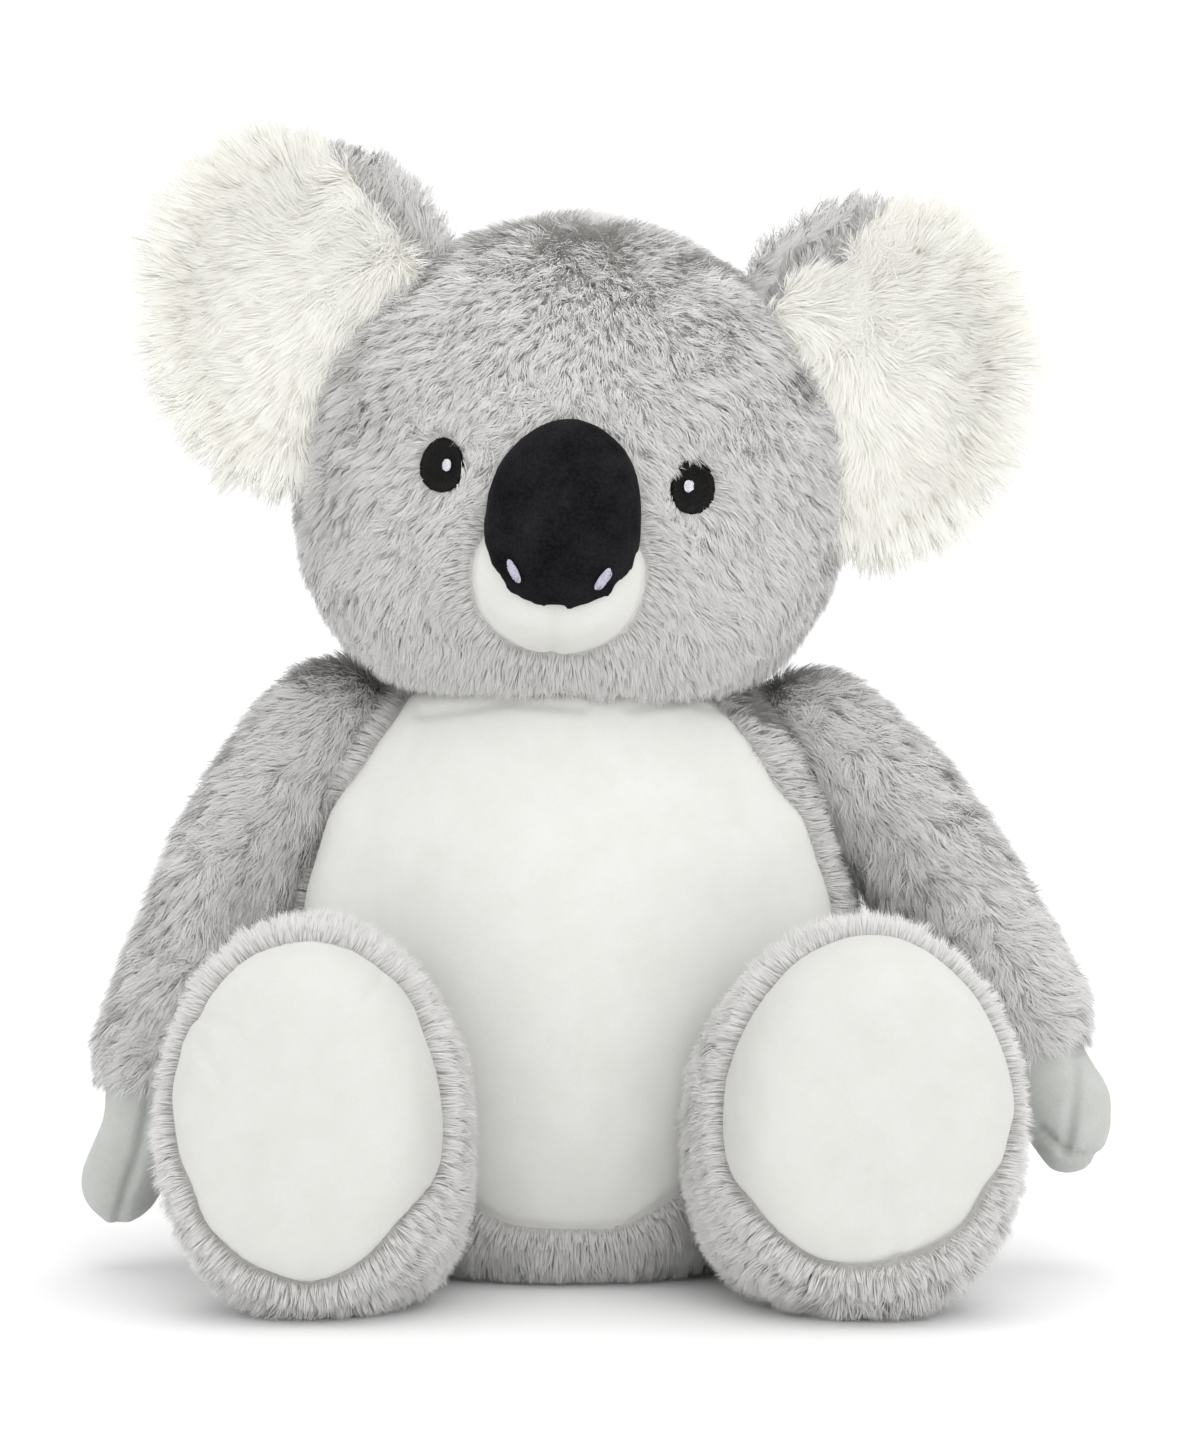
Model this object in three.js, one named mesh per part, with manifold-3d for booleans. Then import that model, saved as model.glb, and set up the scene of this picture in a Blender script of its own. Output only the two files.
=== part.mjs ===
// A seated plush koala, in millimetres, +Z up, facing -Y. Left and right are as seen from the front,
// so left is -X. Every soft section is a fabric cover, its panels, and the filling inside it.
import * as THREE from "three";
import { mergeVertices } from "three/addons/utils/BufferGeometryUtils.js";
import Module from "manifold-3d";

const wasm = await Module();
wasm.setup();

// Fabric and fit
const wall = 1.6; // thickness of a fabric panel with its backing
const gap = 0.3; // clearance between pieces that touch
const threadHeight = 1.2; // an embroidered patch above its fabric
const flatDepth = 0.5; // how deep a rounded underside is pressed flat by the floor
const overrun = 60; // how far a cutting block passes what it cuts

// Torso
const torsoHeight = 222;
const torsoHalfWidth = 98;
const bellyDepth = 84; // from the torso's axis to the belly
const backDepth = 72; // from the torso's axis to the back
const torsoWidthShares = [0.9, 1.0, 1.02, 0.97, 0.86, 0.7];
const bellyDepthShares = [1.14, 1.09, 1.04, 0.97, 0.88, 0.82];
const backDepthShares = [0.9, 1.0, 1.0, 0.98, 0.96, 0.94];

// Belly panel, an outline on the front of the torso
const bellyTopDrop = 21; // below the torso's top
const bellyTop = torsoHeight - bellyTopDrop;
const bellyBottom = 20;
const bellySide = 6; // what the torso shows on each side of the panel
const bellyHalfWidth = torsoHalfWidth - bellySide;
const bellyOutlineShares = [0.57, 0.71, 0.86, 0.95, 1.0, 0.97, 0.86, 0.62, 0.2];

// Neck
const neckDrop = 22; // the pivot on which the head turns, below the torso's top
const neckHeight = torsoHeight - neckDrop;
const neckHoleRadius = 30;
const neckHoleFacets = 20;

// Head, about its own centre
const headRise = 74.5; // the centre above the neck
const headHeight = neckHeight + headRise;
const headForward = 16;
const headHalfHeight = 82.5;
const headHalfWidth = 86;
const faceDepth = 70;
const napeDepth = 72;
const headRoll = 5; // the crown leans to the right
const headWidthShares = [1.14, 1.05, 1.01, 1.0, 0.97, 0.95];
const faceDepthShares = [1.16, 1.09, 1.04, 1.0, 0.95, 0.9];
const napeDepthShares = [0.9, 1.0, 1.02, 1.0, 1.0, 1.0];

// Muzzle, the white swelling under the nose
const muzzleHalfWidth = 29;
const muzzleHalfHeight = 27;
const muzzleHalfDepth = 25;
const muzzleDrop = 35.5; // below the head's centre
const muzzleSunk = 10; // its middle behind the face
const muzzleForward = faceDepth - muzzleSunk;

// Nose
const noseHalfWidth = 25.2;
const noseHalfHeight = 33.5;
const noseHalfDepth = 23;
const noseDrop = 17;
const noseProud = 1; // its middle ahead of the face
const noseForward = faceDepth + noseProud;
const noseWidthShares = [0.87, 1.02, 1.02, 0.99, 0.94, 0.88];

// Eyes and their highlights
const eyeSpacing = 83.5;
const eyeDrop = 3;
const eyeHalfWidth = 7.6;
const eyeHalfHeight = 9.4;
const eyeEggShare = 0.12; // how much narrower its top is
const highlightHalfWidth = 1.8;
const highlightHalfHeight = 2.6;
const highlightInset = 1.6; // from the eye's centre towards the nose

// Nostrils
const nostrilSpacing = 29;
const nostrilDrop = 36;
const nostrilHalfLength = 4.6;
const nostrilHalfWidth = 1.9;
const nostrilSlant = 32;

// Ears, each two layers sewn together at the rim
const earHalfWidth = 41;
const earHalfHeight = 54;
const earLayer = 7; // greatest thickness of one layer
const earRim = 1.5; // thickness of one layer at the rim
const earCup = 17; // how far the rim stands ahead of the middle
const earBack = 4; // the ear's middle behind the head's centre
const leftEarProud = 15; // the ear's middle beyond the side of the head
const rightEarProud = 21;
const leftEarUp = 46; // the ear's middle above the head's centre
const rightEarUp = 39;
const earFold = 18;
const earSeamShare = 0.6; // how far out from the ear's middle, of its half width, the head cuts it
const earSlack = 4; // how loosely the back hangs where it reaches past the front
// Outlines by eighths of a turn, from towards the head over the ear's top. The backs reach onto the head.
const leftEarFrontShares = [1.1, 1.0, 1.03, 1.02, 1.0, 0.98, 0.98, 0.94];
const leftEarBackShares = [1.5, 1.2, 1.04, 1.02, 1.0, 0.98, 0.98, 0.94];
const rightEarFrontShares = [1.1, 1.06, 1.04, 1.0, 0.94, 0.94, 0.98, 0.98];
const rightEarBackShares = [1.5, 1.34, 1.07, 1.0, 0.94, 0.94, 0.98, 0.98];

// Arms
const armHalfWidth = 20;
const armHalfDepth = 22;
const shoulderTuck = 38; // how far inside the torso's side the arm begins
const shoulderInset = torsoHalfWidth - shoulderTuck;
const leftShoulderDrop = 32; // the shoulder below the torso's top
const rightShoulderDrop = 37;
const leftArmReach = 98; // how far out of the shoulder the fingertips hang
const rightArmReach = 118;
const leftArmDrop = 175; // how far below the shoulder the fingertips hang
const rightArmDrop = 150;
const armForward = 38; // how far the fingertips hang ahead of the shoulder
const armLift = 50;
const wristShare = 0.84; // where along the arm the sleeve ends
const armWidthShares = [1.15, 1.08, 1.0, 0.96, 0.94, 0.94, 1.02, 1.06];
const armDepthShares = [1.2, 1.1, 1.0, 0.96, 0.94, 0.94, 1.1, 1.1];
const armOutShares = [0, 0.178, 0.31, 0.47, 0.635, 0.8, 1];
const armDownShares = [0, 0.045, 0.12, 0.235, 0.44, 0.68, 1];
const armForwardShares = [0, 0.11, 0.21, 0.37, 0.53, 0.74, 1];

// Legs
const legUpper = 62; // from the leg's axis to the top of the foot
const legAxisHeight = 62;
const hipTuck = 46; // how far inside the torso's side the leg begins
const hipInset = torsoHalfWidth - hipTuck;
const hipBack = 8; // the leg's inner end ahead of the torso's axis
const hipHeight = 52; // the pivot on which a leg lifts
const hipPivotForward = 44;
const legAhead = 82; // the sole ahead of the belly
const legReach = bellyDepth + legAhead;
const leftFootOut = 87; // the foot's distance from the middle of the torso
const rightFootOut = 101;
const leftLegHalfWidth = 46;
const rightLegHalfWidth = 49;
const legLift = 25;
const legOutShares = [0, 0.45, 0.85, 1];
const legForwardShares = [0, 0.37, 0.68, 1];
const legWidthShares = [0.62, 0.72, 0.82, 0.95, 1.0, 1.0];
const legUpperShares = [0.5, 0.56, 0.68, 0.9, 1.0, 0.99];
const legLowerShares = [1.0, 1.0, 1.0, 1.0, 1.0, 0.96];

// Soles
const soleHalfHeight = 57;
const leftSoleInset = 6.5; // the sole's middle from the foot's, towards the other foot
const rightSoleInset = 5.5;
const leftSoleRim = 0.5; // what the foot shows on each side of the sole
const rightSoleRim = 0.5;
const leftSoleLift = 10; // the sole's middle above the leg's axis
const rightSoleLift = 12;
const soleEggShare = -0.06; // how much narrower its bottom is

// What differs from side to side
const sides = [
  {
    name: "left",
    sign: -1,
    earOut: headHalfWidth + leftEarProud,
    earUp: leftEarUp,
    earTilt: 0,
    earFrontShares: leftEarFrontShares,
    earBackShares: leftEarBackShares,
    shoulderHeight: torsoHeight - leftShoulderDrop,
    armReach: leftArmReach,
    armDrop: leftArmDrop,
    footOut: leftFootOut,
    legHalfWidth: leftLegHalfWidth,
    legLean: 4,
    soleOut: leftFootOut - leftSoleInset,
    soleHalfWidth: leftLegHalfWidth - leftSoleRim,
    soleHeight: legAxisHeight + leftSoleLift,
  },
  {
    name: "right",
    sign: 1,
    earOut: headHalfWidth + rightEarProud,
    earUp: rightEarUp,
    earTilt: 7,
    earFrontShares: rightEarFrontShares,
    earBackShares: rightEarBackShares,
    shoulderHeight: torsoHeight - rightShoulderDrop,
    armReach: rightArmReach,
    armDrop: rightArmDrop,
    footOut: rightFootOut,
    legHalfWidth: rightLegHalfWidth,
    legLean: -2,
    soleOut: rightFootOut - rightSoleInset,
    soleHalfWidth: rightLegHalfWidth - rightSoleRim,
    soleHeight: legAxisHeight + rightSoleLift,
  },
];

const degrees = (angle) => THREE.MathUtils.degToRad(angle);
const point = (x, y, z) => new THREE.Vector3(x, y, z);

// A value read at t, from 0 to 1, off a smooth curve through evenly spaced shares.
function shareAt(shares, t) {
  const curve = new THREE.SplineCurve(shares.map((share, i) => new THREE.Vector2(i, share)));
  return curve.getPoint(t).y;
}

// A stuffed form: rings along a spine, closed by a point at each end, round as an ellipsoid or, with a
// higher end power, blunter. `front` is the way its front half faces, and each half has its own depth.
// A form that sits on its start has its first ring level with the start.
function stuffedForm({
  spine, front, width, frontDepth, backDepth, rings, around, startPower = 2, endPower = 2, sits = false,
}) {
  const curve = new THREE.CatmullRomCurve3(spine);
  const places = [];
  const faces = [];
  for (let i = 1; i < rings; i++) {
    const t = (1 - Math.cos((Math.PI * i) / rings)) / 2;
    const power = t < 0.5 ? startPower : endPower;
    const round = (1 - Math.abs(2 * t - 1) ** power) ** (1 / power);
    const centre = curve.getPoint(sits && i === 1 ? 0 : t);
    const along = curve.getTangent(t);
    const forth = front.clone().addScaledVector(along, -front.dot(along)).normalize();
    const across = forth.clone().cross(along);
    for (let k = 0; k < around; k++) {
      const turn = (2 * Math.PI * k) / around;
      const depth = Math.sin(turn) > 0 ? frontDepth(t) : backDepth(t);
      places.push(
        centre.clone()
          .addScaledVector(across, round * width(t) * Math.cos(turn))
          .addScaledVector(forth, round * depth * Math.sin(turn)),
      );
    }
  }
  const start = places.push(curve.getPoint(0)) - 1;
  const end = places.push(curve.getPoint(1)) - 1;
  const last = (rings - 2) * around;
  for (let k = 0; k < around; k++) {
    const next = (k + 1) % around;
    faces.push(start, next, k);
    faces.push(end, last + k, last + next);
    for (let i = 0; i < last; i += around) {
      faces.push(i + k, i + next, i + around + k);
      faces.push(i + next, i + around + next, i + around + k);
    }
  }
  return new THREE.BufferGeometry().setFromPoints(places).setIndex(faces);
}

// The same form with its whole surface moved out, or in where the distance is negative.
function grown(form, distance) {
  const moved = form.clone();
  moved.computeVertexNormals();
  const place = moved.getAttribute("position");
  const normal = moved.getAttribute("normal");
  for (let i = 0; i < place.count; i++) {
    place.setXYZ(
      i,
      place.getX(i) + distance * normal.getX(i),
      place.getY(i) + distance * normal.getY(i),
      place.getZ(i) + distance * normal.getZ(i),
    );
  }
  return moved;
}

// A closed geometry as a manifold solid.
function solid(geometry) {
  const bare = geometry.clone();
  bare.deleteAttribute("normal");
  bare.deleteAttribute("uv");
  const merged = mergeVertices(bare);
  return new wasm.Manifold(
    new wasm.Mesh({
      numProp: 3,
      vertProperties: merged.getAttribute("position").array,
      triVerts: new Uint32Array(merged.index.array),
    }),
  );
}

// A block over the whole part that ends at the height given.
function floorBlock(height) {
  const reach = 2 * (torsoHeight + headHeight);
  return solid(new THREE.BoxGeometry(reach, reach, overrun).translate(0, 0, height - overrun / 2));
}

// An outline in the XZ plane, extruded along Y from the near plane to the far one.
function zone(outline, near, far) {
  const shape = new THREE.Shape(outline);
  const block = new THREE.ExtrudeGeometry(shape, { depth: far - near, bevelEnabled: false });
  return block.rotateX(Math.PI / 2).translate(0, far, 0);
}

// The points of an ellipse, with more of its height above or below its middle where `egg` isn't zero.
function oval(halfWidth, halfHeight, egg = 0, count = 16) {
  return Array.from({ length: count }, (_, i) => {
    const turn = (2 * Math.PI * i) / count;
    const x = halfWidth * Math.cos(turn) * (1 - egg * Math.sin(turn));
    return new THREE.Vector2(x, halfHeight * Math.sin(turn));
  });
}

// What is left of a piece when the thing it turns against, given at the piece's rest, is cut from it
// at every step of the turn.
function clearedThroughTurn(piece, obstacle, pivot, axis, from, to) {
  const step = 9;
  let left = piece;
  for (let i = 0; i <= Math.ceil((to - from) / step); i++) {
    const angle = degrees(Math.min(from + i * step, to));
    const turned = obstacle.clone().translate(-pivot.x, -pivot.y, -pivot.z)
      .applyMatrix4(new THREE.Matrix4().makeRotationAxis(axis, -angle))
      .translate(pivot.x, pivot.y, pivot.z);
    left = left.subtract(solid(turned));
  }
  return left;
}

const plush = (color) => new THREE.MeshStandardMaterial({ color, roughness: 0.95, metalness: 0 });
const materials = {
  greyPlush: plush(0xb4b2b6),
  whitePlush: plush(0xefeee6),
  velboa: plush(0xf0f1ec),
  handVelboa: plush(0xbcc2be),
  noseVelboa: plush(0x111114),
  blackThread: new THREE.MeshStandardMaterial({ color: 0x191916, roughness: 0.6, metalness: 0 }),
  whiteThread: new THREE.MeshStandardMaterial({ color: 0xebebf0, roughness: 0.6, metalness: 0 }),
  paleThread: new THREE.MeshStandardMaterial({ color: 0xcdcddc, roughness: 0.6, metalness: 0 }),
  filling: plush(0xfafafa),
};

// Adds a solid, given in the part's frame, to the group that carries it.
function addPiece(carrier, name, made, material) {
  const mesh = made.getMesh();
  const places = new Float32Array(mesh.numVert * 3);
  for (let i = 0; i < mesh.numVert; i++) {
    places.set(mesh.vertProperties.subarray(i * mesh.numProp, i * mesh.numProp + 3), 3 * i);
  }
  const geometry = new THREE.BufferGeometry()
    .setAttribute("position", new THREE.BufferAttribute(places, 3))
    .setIndex(new THREE.BufferAttribute(mesh.triVerts, 1));
  carrier.updateWorldMatrix(true, false);
  geometry.applyMatrix4(carrier.matrixWorld.clone().invert());
  geometry.computeVertexNormals();
  const piece = new THREE.Mesh(geometry, material);
  piece.name = name;
  carrier.add(piece);
}

// A group whose origin is a joint's pivot.
function jointGroup(carrier, name, pivot) {
  const group = new THREE.Group();
  group.name = name;
  carrier.add(group);
  carrier.updateWorldMatrix(true, false);
  group.position.copy(carrier.worldToLocal(pivot.clone()));
  return group;
}

const koala = new THREE.Group();
koala.name = "koala";

// Torso
const torsoForm = stuffedForm({
  spine: [point(0, 0, -flatDepth), point(0, 0, torsoHeight)],
  front: point(0, -1, 0),
  width: (t) => torsoHalfWidth * shareAt(torsoWidthShares, t),
  frontDepth: (t) => bellyDepth * shareAt(bellyDepthShares, t),
  backDepth: (t) => backDepth * shareAt(backDepthShares, t),
  startPower: 5,
  endPower: 3,
  rings: 12,
  around: 22,
  sits: true,
});
const neckPivot = point(0, 0, neckHeight);

function bellyOutline(margin) {
  const count = bellyOutlineShares.length - 1;
  const rows = bellyOutlineShares.map((share, i) => {
    const z = bellyTop + margin + ((bellyBottom - bellyTop - 2 * margin) * i) / count;
    return new THREE.Vector2(bellyHalfWidth * share + margin, z);
  });
  const mirrored = rows.map((row) => new THREE.Vector2(-row.x, row.y)).reverse();
  return [...rows, ...mirrored];
}

// The space that the top of the torso needs as the head turns on it, a solid of revolution about the neck.
function neckSocket() {
  const facets = 22;
  const place = grown(torsoForm, gap).getAttribute("position");
  const rings = new Map();
  for (let i = 0; i < place.count; i++) {
    const height = torsoForm.getAttribute("position").getZ(i);
    const ring = rings.get(height) ?? new THREE.Vector2(0, 0);
    ring.x = Math.max(ring.x, Math.hypot(place.getX(i), place.getY(i)) / Math.cos(Math.PI / facets));
    ring.y = Math.max(ring.y, place.getZ(i));
    if (height > torsoHeight / 2) rings.set(height, ring);
  }
  const profile = [...rings.values()].sort((a, b) => a.y - b.y);
  const top = profile.pop();
  const outline = [new THREE.Vector2(0, torsoHeight / 2), ...profile, new THREE.Vector2(0, top.y)];
  return solid(new THREE.LatheGeometry(outline, facets).rotateX(Math.PI / 2));
}

function makeTorso(carrier) {
  const outer = solid(torsoForm).subtract(floorBlock(0));
  const inner = solid(grown(torsoForm, -wall)).subtract(floorBlock(wall));
  const shell = outer.subtract(inner);
  const reach = bellyDepth + overrun;
  const neckHole = solid(
    new THREE.CylinderGeometry(neckHoleRadius, neckHoleRadius, overrun, neckHoleFacets)
      .rotateX(Math.PI / 2).translate(0, 0, torsoHeight),
  );
  const cover = shell.subtract(solid(zone(bellyOutline(gap), -reach, 0))).subtract(neckHole);
  const filling = solid(grown(torsoForm, -wall - gap)).subtract(floorBlock(wall + gap));
  const panel = shell.intersect(solid(zone(bellyOutline(0), -reach, 0)));
  addPiece(carrier, "torso_cover", cover, materials.greyPlush);
  addPiece(carrier, "belly_panel", panel, materials.velboa);
  addPiece(carrier, "torso_filling", filling, materials.filling);
}

// Head
const headPlace = new THREE.Matrix4()
  .makeRotationY(degrees(headRoll))
  .setPosition(0, -headForward, headHeight);
const inHead = (geometry) => geometry.applyMatrix4(headPlace);
const headForm = inHead(stuffedForm({
  spine: [point(0, 0, -headHalfHeight), point(0, 0, headHalfHeight)],
  front: point(0, -1, 0),
  width: (t) => headHalfWidth * shareAt(headWidthShares, t),
  frontDepth: (t) => faceDepth * shareAt(faceDepthShares, t),
  backDepth: (t) => napeDepth * shareAt(napeDepthShares, t),
  startPower: 2.3,
  rings: 12,
  around: 22,
}));
const muzzleForm = inHead(stuffedForm({
  spine: [point(0, 0, -muzzleHalfHeight), point(0, 0, muzzleHalfHeight)],
  front: point(0, -1, 0),
  width: () => muzzleHalfWidth,
  frontDepth: () => muzzleHalfDepth,
  backDepth: () => muzzleHalfDepth,
  rings: 9,
  around: 16,
}).translate(0, -muzzleForward, -muzzleDrop));
const noseForm = inHead(stuffedForm({
  spine: [point(0, 0, -noseHalfHeight), point(0, 0, noseHalfHeight)],
  front: point(0, -1, 0),
  width: (t) => noseHalfWidth * shareAt(noseWidthShares, t),
  frontDepth: () => noseHalfDepth,
  backDepth: () => noseHalfDepth,
  startPower: 2.7,
  rings: 9,
  around: 16,
}).translate(0, -noseForward, -noseDrop));

// A patch that lies on a form, `lift` above it, inside an outline on its front, ahead of the plane `far`.
function patchOn(form, outline, x, z, slant, lift, far) {
  const reach = faceDepth + noseForward;
  const cutter = zone(outline, -reach, far).rotateY(degrees(slant)).translate(x, 0, z);
  const layer = solid(grown(form, lift + threadHeight)).subtract(solid(grown(form, lift)));
  return layer.intersect(solid(inHead(cutter)));
}

function makeHead(carrier) {
  const clear = (piece) => piece.subtract(neckSocket());
  const skull = solid(headForm);
  const cavity = solid(grown(headForm, -wall));
  const neckHole = solid(
    new THREE.CylinderGeometry(neckHoleRadius, neckHoleRadius, headHeight - neckHeight, neckHoleFacets)
      .rotateX(Math.PI / 2).translate(0, 0, neckHeight),
  );
  const cover = skull.subtract(cavity).subtract(solid(grown(muzzleForm, gap))).subtract(neckHole);
  addPiece(carrier, "head_cover", clear(cover), materials.greyPlush);

  const stuffing = solid(grown(headForm, -wall - gap)).add(solid(grown(muzzleForm, -wall - gap)));
  addPiece(carrier, "head_filling", clear(stuffing), materials.filling);

  const noseSeat = solid(grown(headForm, gap)).add(solid(grown(muzzleForm, gap)));
  const nose = solid(noseForm).subtract(solid(grown(noseForm, -wall))).subtract(noseSeat);
  addPiece(carrier, "nose_cover", nose, materials.noseVelboa);
  const noseFilling = solid(grown(noseForm, -wall - gap)).subtract(noseSeat);
  addPiece(carrier, "nose_filling", noseFilling, materials.filling);

  const muzzle = solid(muzzleForm).subtract(solid(grown(muzzleForm, -wall))).subtract(cavity);
  for (const { name, sign } of sides) {
    const reach = muzzleHalfWidth + overrun;
    const half = new THREE.BoxGeometry(reach, 2 * (muzzleForward + overrun), 2 * headHalfHeight)
      .translate(sign * (reach + gap) / 2, 0, 0);
    addPiece(carrier, "muzzle_" + name, muzzle.intersect(solid(inHead(half))), materials.velboa);

    const eyeX = (sign * eyeSpacing) / 2;
    const eye = patchOn(headForm, oval(eyeHalfWidth, eyeHalfHeight, eyeEggShare), eyeX, -eyeDrop, 0, gap, 0);
    addPiece(carrier, "eye_" + name, eye, materials.blackThread);
    const glintX = eyeX - sign * highlightInset;
    const glint = patchOn(
      headForm, oval(highlightHalfWidth, highlightHalfHeight), glintX, -eyeDrop, 0, 2 * gap + threadHeight, 0,
    );
    addPiece(carrier, "eye_highlight_" + name, glint, materials.whiteThread);

    const nostril = patchOn(
      noseForm, oval(nostrilHalfWidth, nostrilHalfLength), (sign * nostrilSpacing) / 2, -nostrilDrop,
      sign * nostrilSlant, gap, -noseForward,
    );
    addPiece(carrier, "nostril_" + name, nostril.subtract(noseSeat), materials.paleThread);
  }
}

// One layer of an ear, about the ear's middle: flat towards the other layer and swelling away from it,
// in its outline, then cupped so that the front's rim stands forward. The head is towards `inward` along x.
function earLayerForm(facing, inward, outlineShares, frontShares) {
  const rings = 4;
  const inner = Array.from({ length: rings + 1 }, (_, i) => new THREE.Vector2(i / rings, gap / 2));
  const outer = Array.from({ length: rings + 1 }, (_, i) => {
    const radius = 1 - i / rings;
    return new THREE.Vector2(radius, gap / 2 + earRim + (earLayer - earRim) * (1 - radius ** 2));
  });
  const layer = new THREE.LatheGeometry([...inner, ...outer], 18);
  layer.deleteAttribute("normal");
  layer.deleteAttribute("uv");
  const form = mergeVertices(layer);
  const place = form.getAttribute("position");
  for (let i = 0; i < place.count; i++) {
    const [x, z] = [place.getX(i), facing * place.getZ(i)];
    const radius = Math.hypot(x, z);
    const turn = (Math.atan2(z, x * inward) / (2 * Math.PI) + 1) % 1;
    const share = shareAt([...outlineShares, outlineShares[0]], turn);
    const reach = (radius * share) / shareAt([...frontShares, frontShares[0]], turn);
    place.setXYZ(
      i,
      x * earHalfWidth * share,
      facing * place.getY(i) - earCup * Math.min(1, reach) ** 2 + earSlack * (reach - radius),
      z * earHalfHeight * share,
    );
  }
  return form;
}

function makeEar(carrier, { name, sign, earOut, earUp, earTilt, earFrontShares, earBackShares }) {
  const centre = point(sign * earOut, earBack, earUp).applyMatrix4(headPlace);
  const tilt = new THREE.Matrix4().makeRotationY(degrees(sign * earTilt)).setPosition(centre);
  // The ear folds about the line where it meets the head, on the way from its middle to the head's.
  const inward = point(0, -headForward, headHeight).sub(centre).setY(0).normalize();
  const start = centre.clone().setY(centre.y - earCup * earSeamShare ** 2);
  const pivot = new THREE.Raycaster(start, inward).intersectObject(new THREE.Mesh(headForm))[0].point;
  const axis = point(-inward.z, 0, inward.x);
  const group = jointGroup(carrier, "ear_" + name, pivot);
  const layers = [
    ["front", -1, earFrontShares, materials.whitePlush],
    ["back", 1, earBackShares, materials.greyPlush],
  ];
  for (const [layer, facing, shares, material] of layers) {
    const form = solid(earLayerForm(facing, -sign, shares, earFrontShares).applyMatrix4(tilt));
    const clear = clearedThroughTurn(form, grown(headForm, gap), pivot, axis, -earFold, earFold);
    addPiece(group, "ear_" + layer + "_" + name, clear, material);
  }
}

// Arms
function makeArm(carrier, { name, sign, shoulderHeight, armReach, armDrop }) {
  const spine = armOutShares.map((out, i) =>
    point(
      sign * (shoulderInset + armReach * out),
      -armForward * armForwardShares[i],
      shoulderHeight - armDrop * armDownShares[i],
    ),
  );
  const form = stuffedForm({
    spine,
    front: point(0, -1, 0),
    width: (t) => armHalfWidth * shareAt(armWidthShares, t),
    frontDepth: (t) => armHalfDepth * shareAt(armDepthShares, t),
    backDepth: (t) => armHalfDepth * shareAt(armDepthShares, t),
    endPower: 3,
    rings: 11,
    around: 10,
  });
  const pivot = point(sign * (shoulderInset + armHalfWidth / 2), 0, shoulderHeight);
  const group = jointGroup(carrier, "arm_" + name, pivot);
  const axis = point(0, -sign, 0);
  const clear = (piece) => clearedThroughTurn(piece, grown(torsoForm, gap), pivot, axis, 0, armLift);

  // The wrist's plane, and a block past it that takes in the whole hand.
  const curve = new THREE.CatmullRomCurve3(spine);
  const wrist = curve.getPoint(wristShare);
  const along = curve.getTangent(wristShare);
  const turn = new THREE.Matrix4().makeRotationFromQuaternion(
    new THREE.Quaternion().setFromUnitVectors(point(0, 0, 1), along),
  );
  const handBlock = (margin) => {
    const side = 2 * (armHalfDepth + overrun);
    const block = new THREE.BoxGeometry(side, side, armReach + overrun);
    block.translate(0, 0, (armReach + overrun) / 2 - margin);
    return solid(block.applyMatrix4(turn).translate(wrist.x, wrist.y, wrist.z));
  };
  const shell = solid(form).subtract(solid(grown(form, -wall)));
  addPiece(group, "arm_cover_" + name, clear(shell.subtract(handBlock(gap))), materials.greyPlush);
  addPiece(group, "hand_cover_" + name, shell.intersect(handBlock(0)), materials.handVelboa);
  addPiece(group, "arm_filling_" + name, clear(solid(grown(form, -wall - gap))), materials.filling);
}

// Legs
function makeLeg(carrier, side) {
  const { name, sign, footOut, legHalfWidth, legLean, soleOut, soleHalfWidth, soleHeight } = side;
  const spine = legOutShares.map((out, i) =>
    point(
      sign * (hipInset + (footOut - hipInset) * out),
      -hipBack - (legReach - hipBack) * legForwardShares[i],
      legAxisHeight,
    ),
  );
  const form = stuffedForm({
    spine,
    front: point(0, 0, 1),
    width: (t) => legHalfWidth * shareAt(legWidthShares, t),
    frontDepth: (t) => legUpper * shareAt(legUpperShares, t),
    backDepth: (t) => (legAxisHeight + flatDepth) * shareAt(legLowerShares, t),
    endPower: 5,
    rings: 10,
    around: 16,
  });
  const pivot = point(sign * hipInset, -hipPivotForward, hipHeight);
  const group = jointGroup(carrier, "leg_" + name, pivot);
  const clear = (piece) =>
    clearedThroughTurn(piece, grown(torsoForm, gap), pivot, point(-1, 0, 0), 0, legLift);
  const shell = solid(form).subtract(floorBlock(0))
    .subtract(solid(grown(form, -wall)).subtract(floorBlock(wall)));
  const soleZone = (margin) => {
    const outline = oval(soleHalfWidth + margin, soleHalfHeight + margin, soleEggShare);
    const block = zone(outline, -legReach - overrun, -legReach + legHalfWidth / 2);
    return solid(block.rotateY(degrees(legLean)).translate(sign * soleOut, 0, soleHeight));
  };
  addPiece(group, "leg_cover_" + name, clear(shell).subtract(soleZone(gap)), materials.greyPlush);
  addPiece(group, "sole_" + name, shell.intersect(soleZone(0)), materials.velboa);
  const filling = solid(grown(form, -wall - gap)).subtract(floorBlock(wall + gap));
  addPiece(group, "leg_filling_" + name, clear(filling), materials.filling);
}

makeTorso(koala);
const headGroup = jointGroup(koala, "head", neckPivot);
makeHead(headGroup);
for (const side of sides) {
  makeEar(headGroup, side);
  makeArm(koala, side);
  makeLeg(koala, side);
}

// The origin is the middle of the bounding box, on the floor.
const middle = new THREE.Box3().setFromObject(koala, true).getCenter(new THREE.Vector3());
koala.position.set(-middle.x, -middle.y, 0);

export default koala;
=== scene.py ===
"""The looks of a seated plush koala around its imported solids.

Each stuffed section gets a fabric skin made from its solids, sewn along the seams where its panels meet.
The plush panels then get their pile as real strands, combed and clumped, and the embroidery its threads.
Places are in metres in the part's own frame: the koala faces -Y, and its left is seen on the left, at -X.
"""
import math

import bpy
import numpy as np
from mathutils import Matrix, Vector, bvhtree, kdtree


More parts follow.
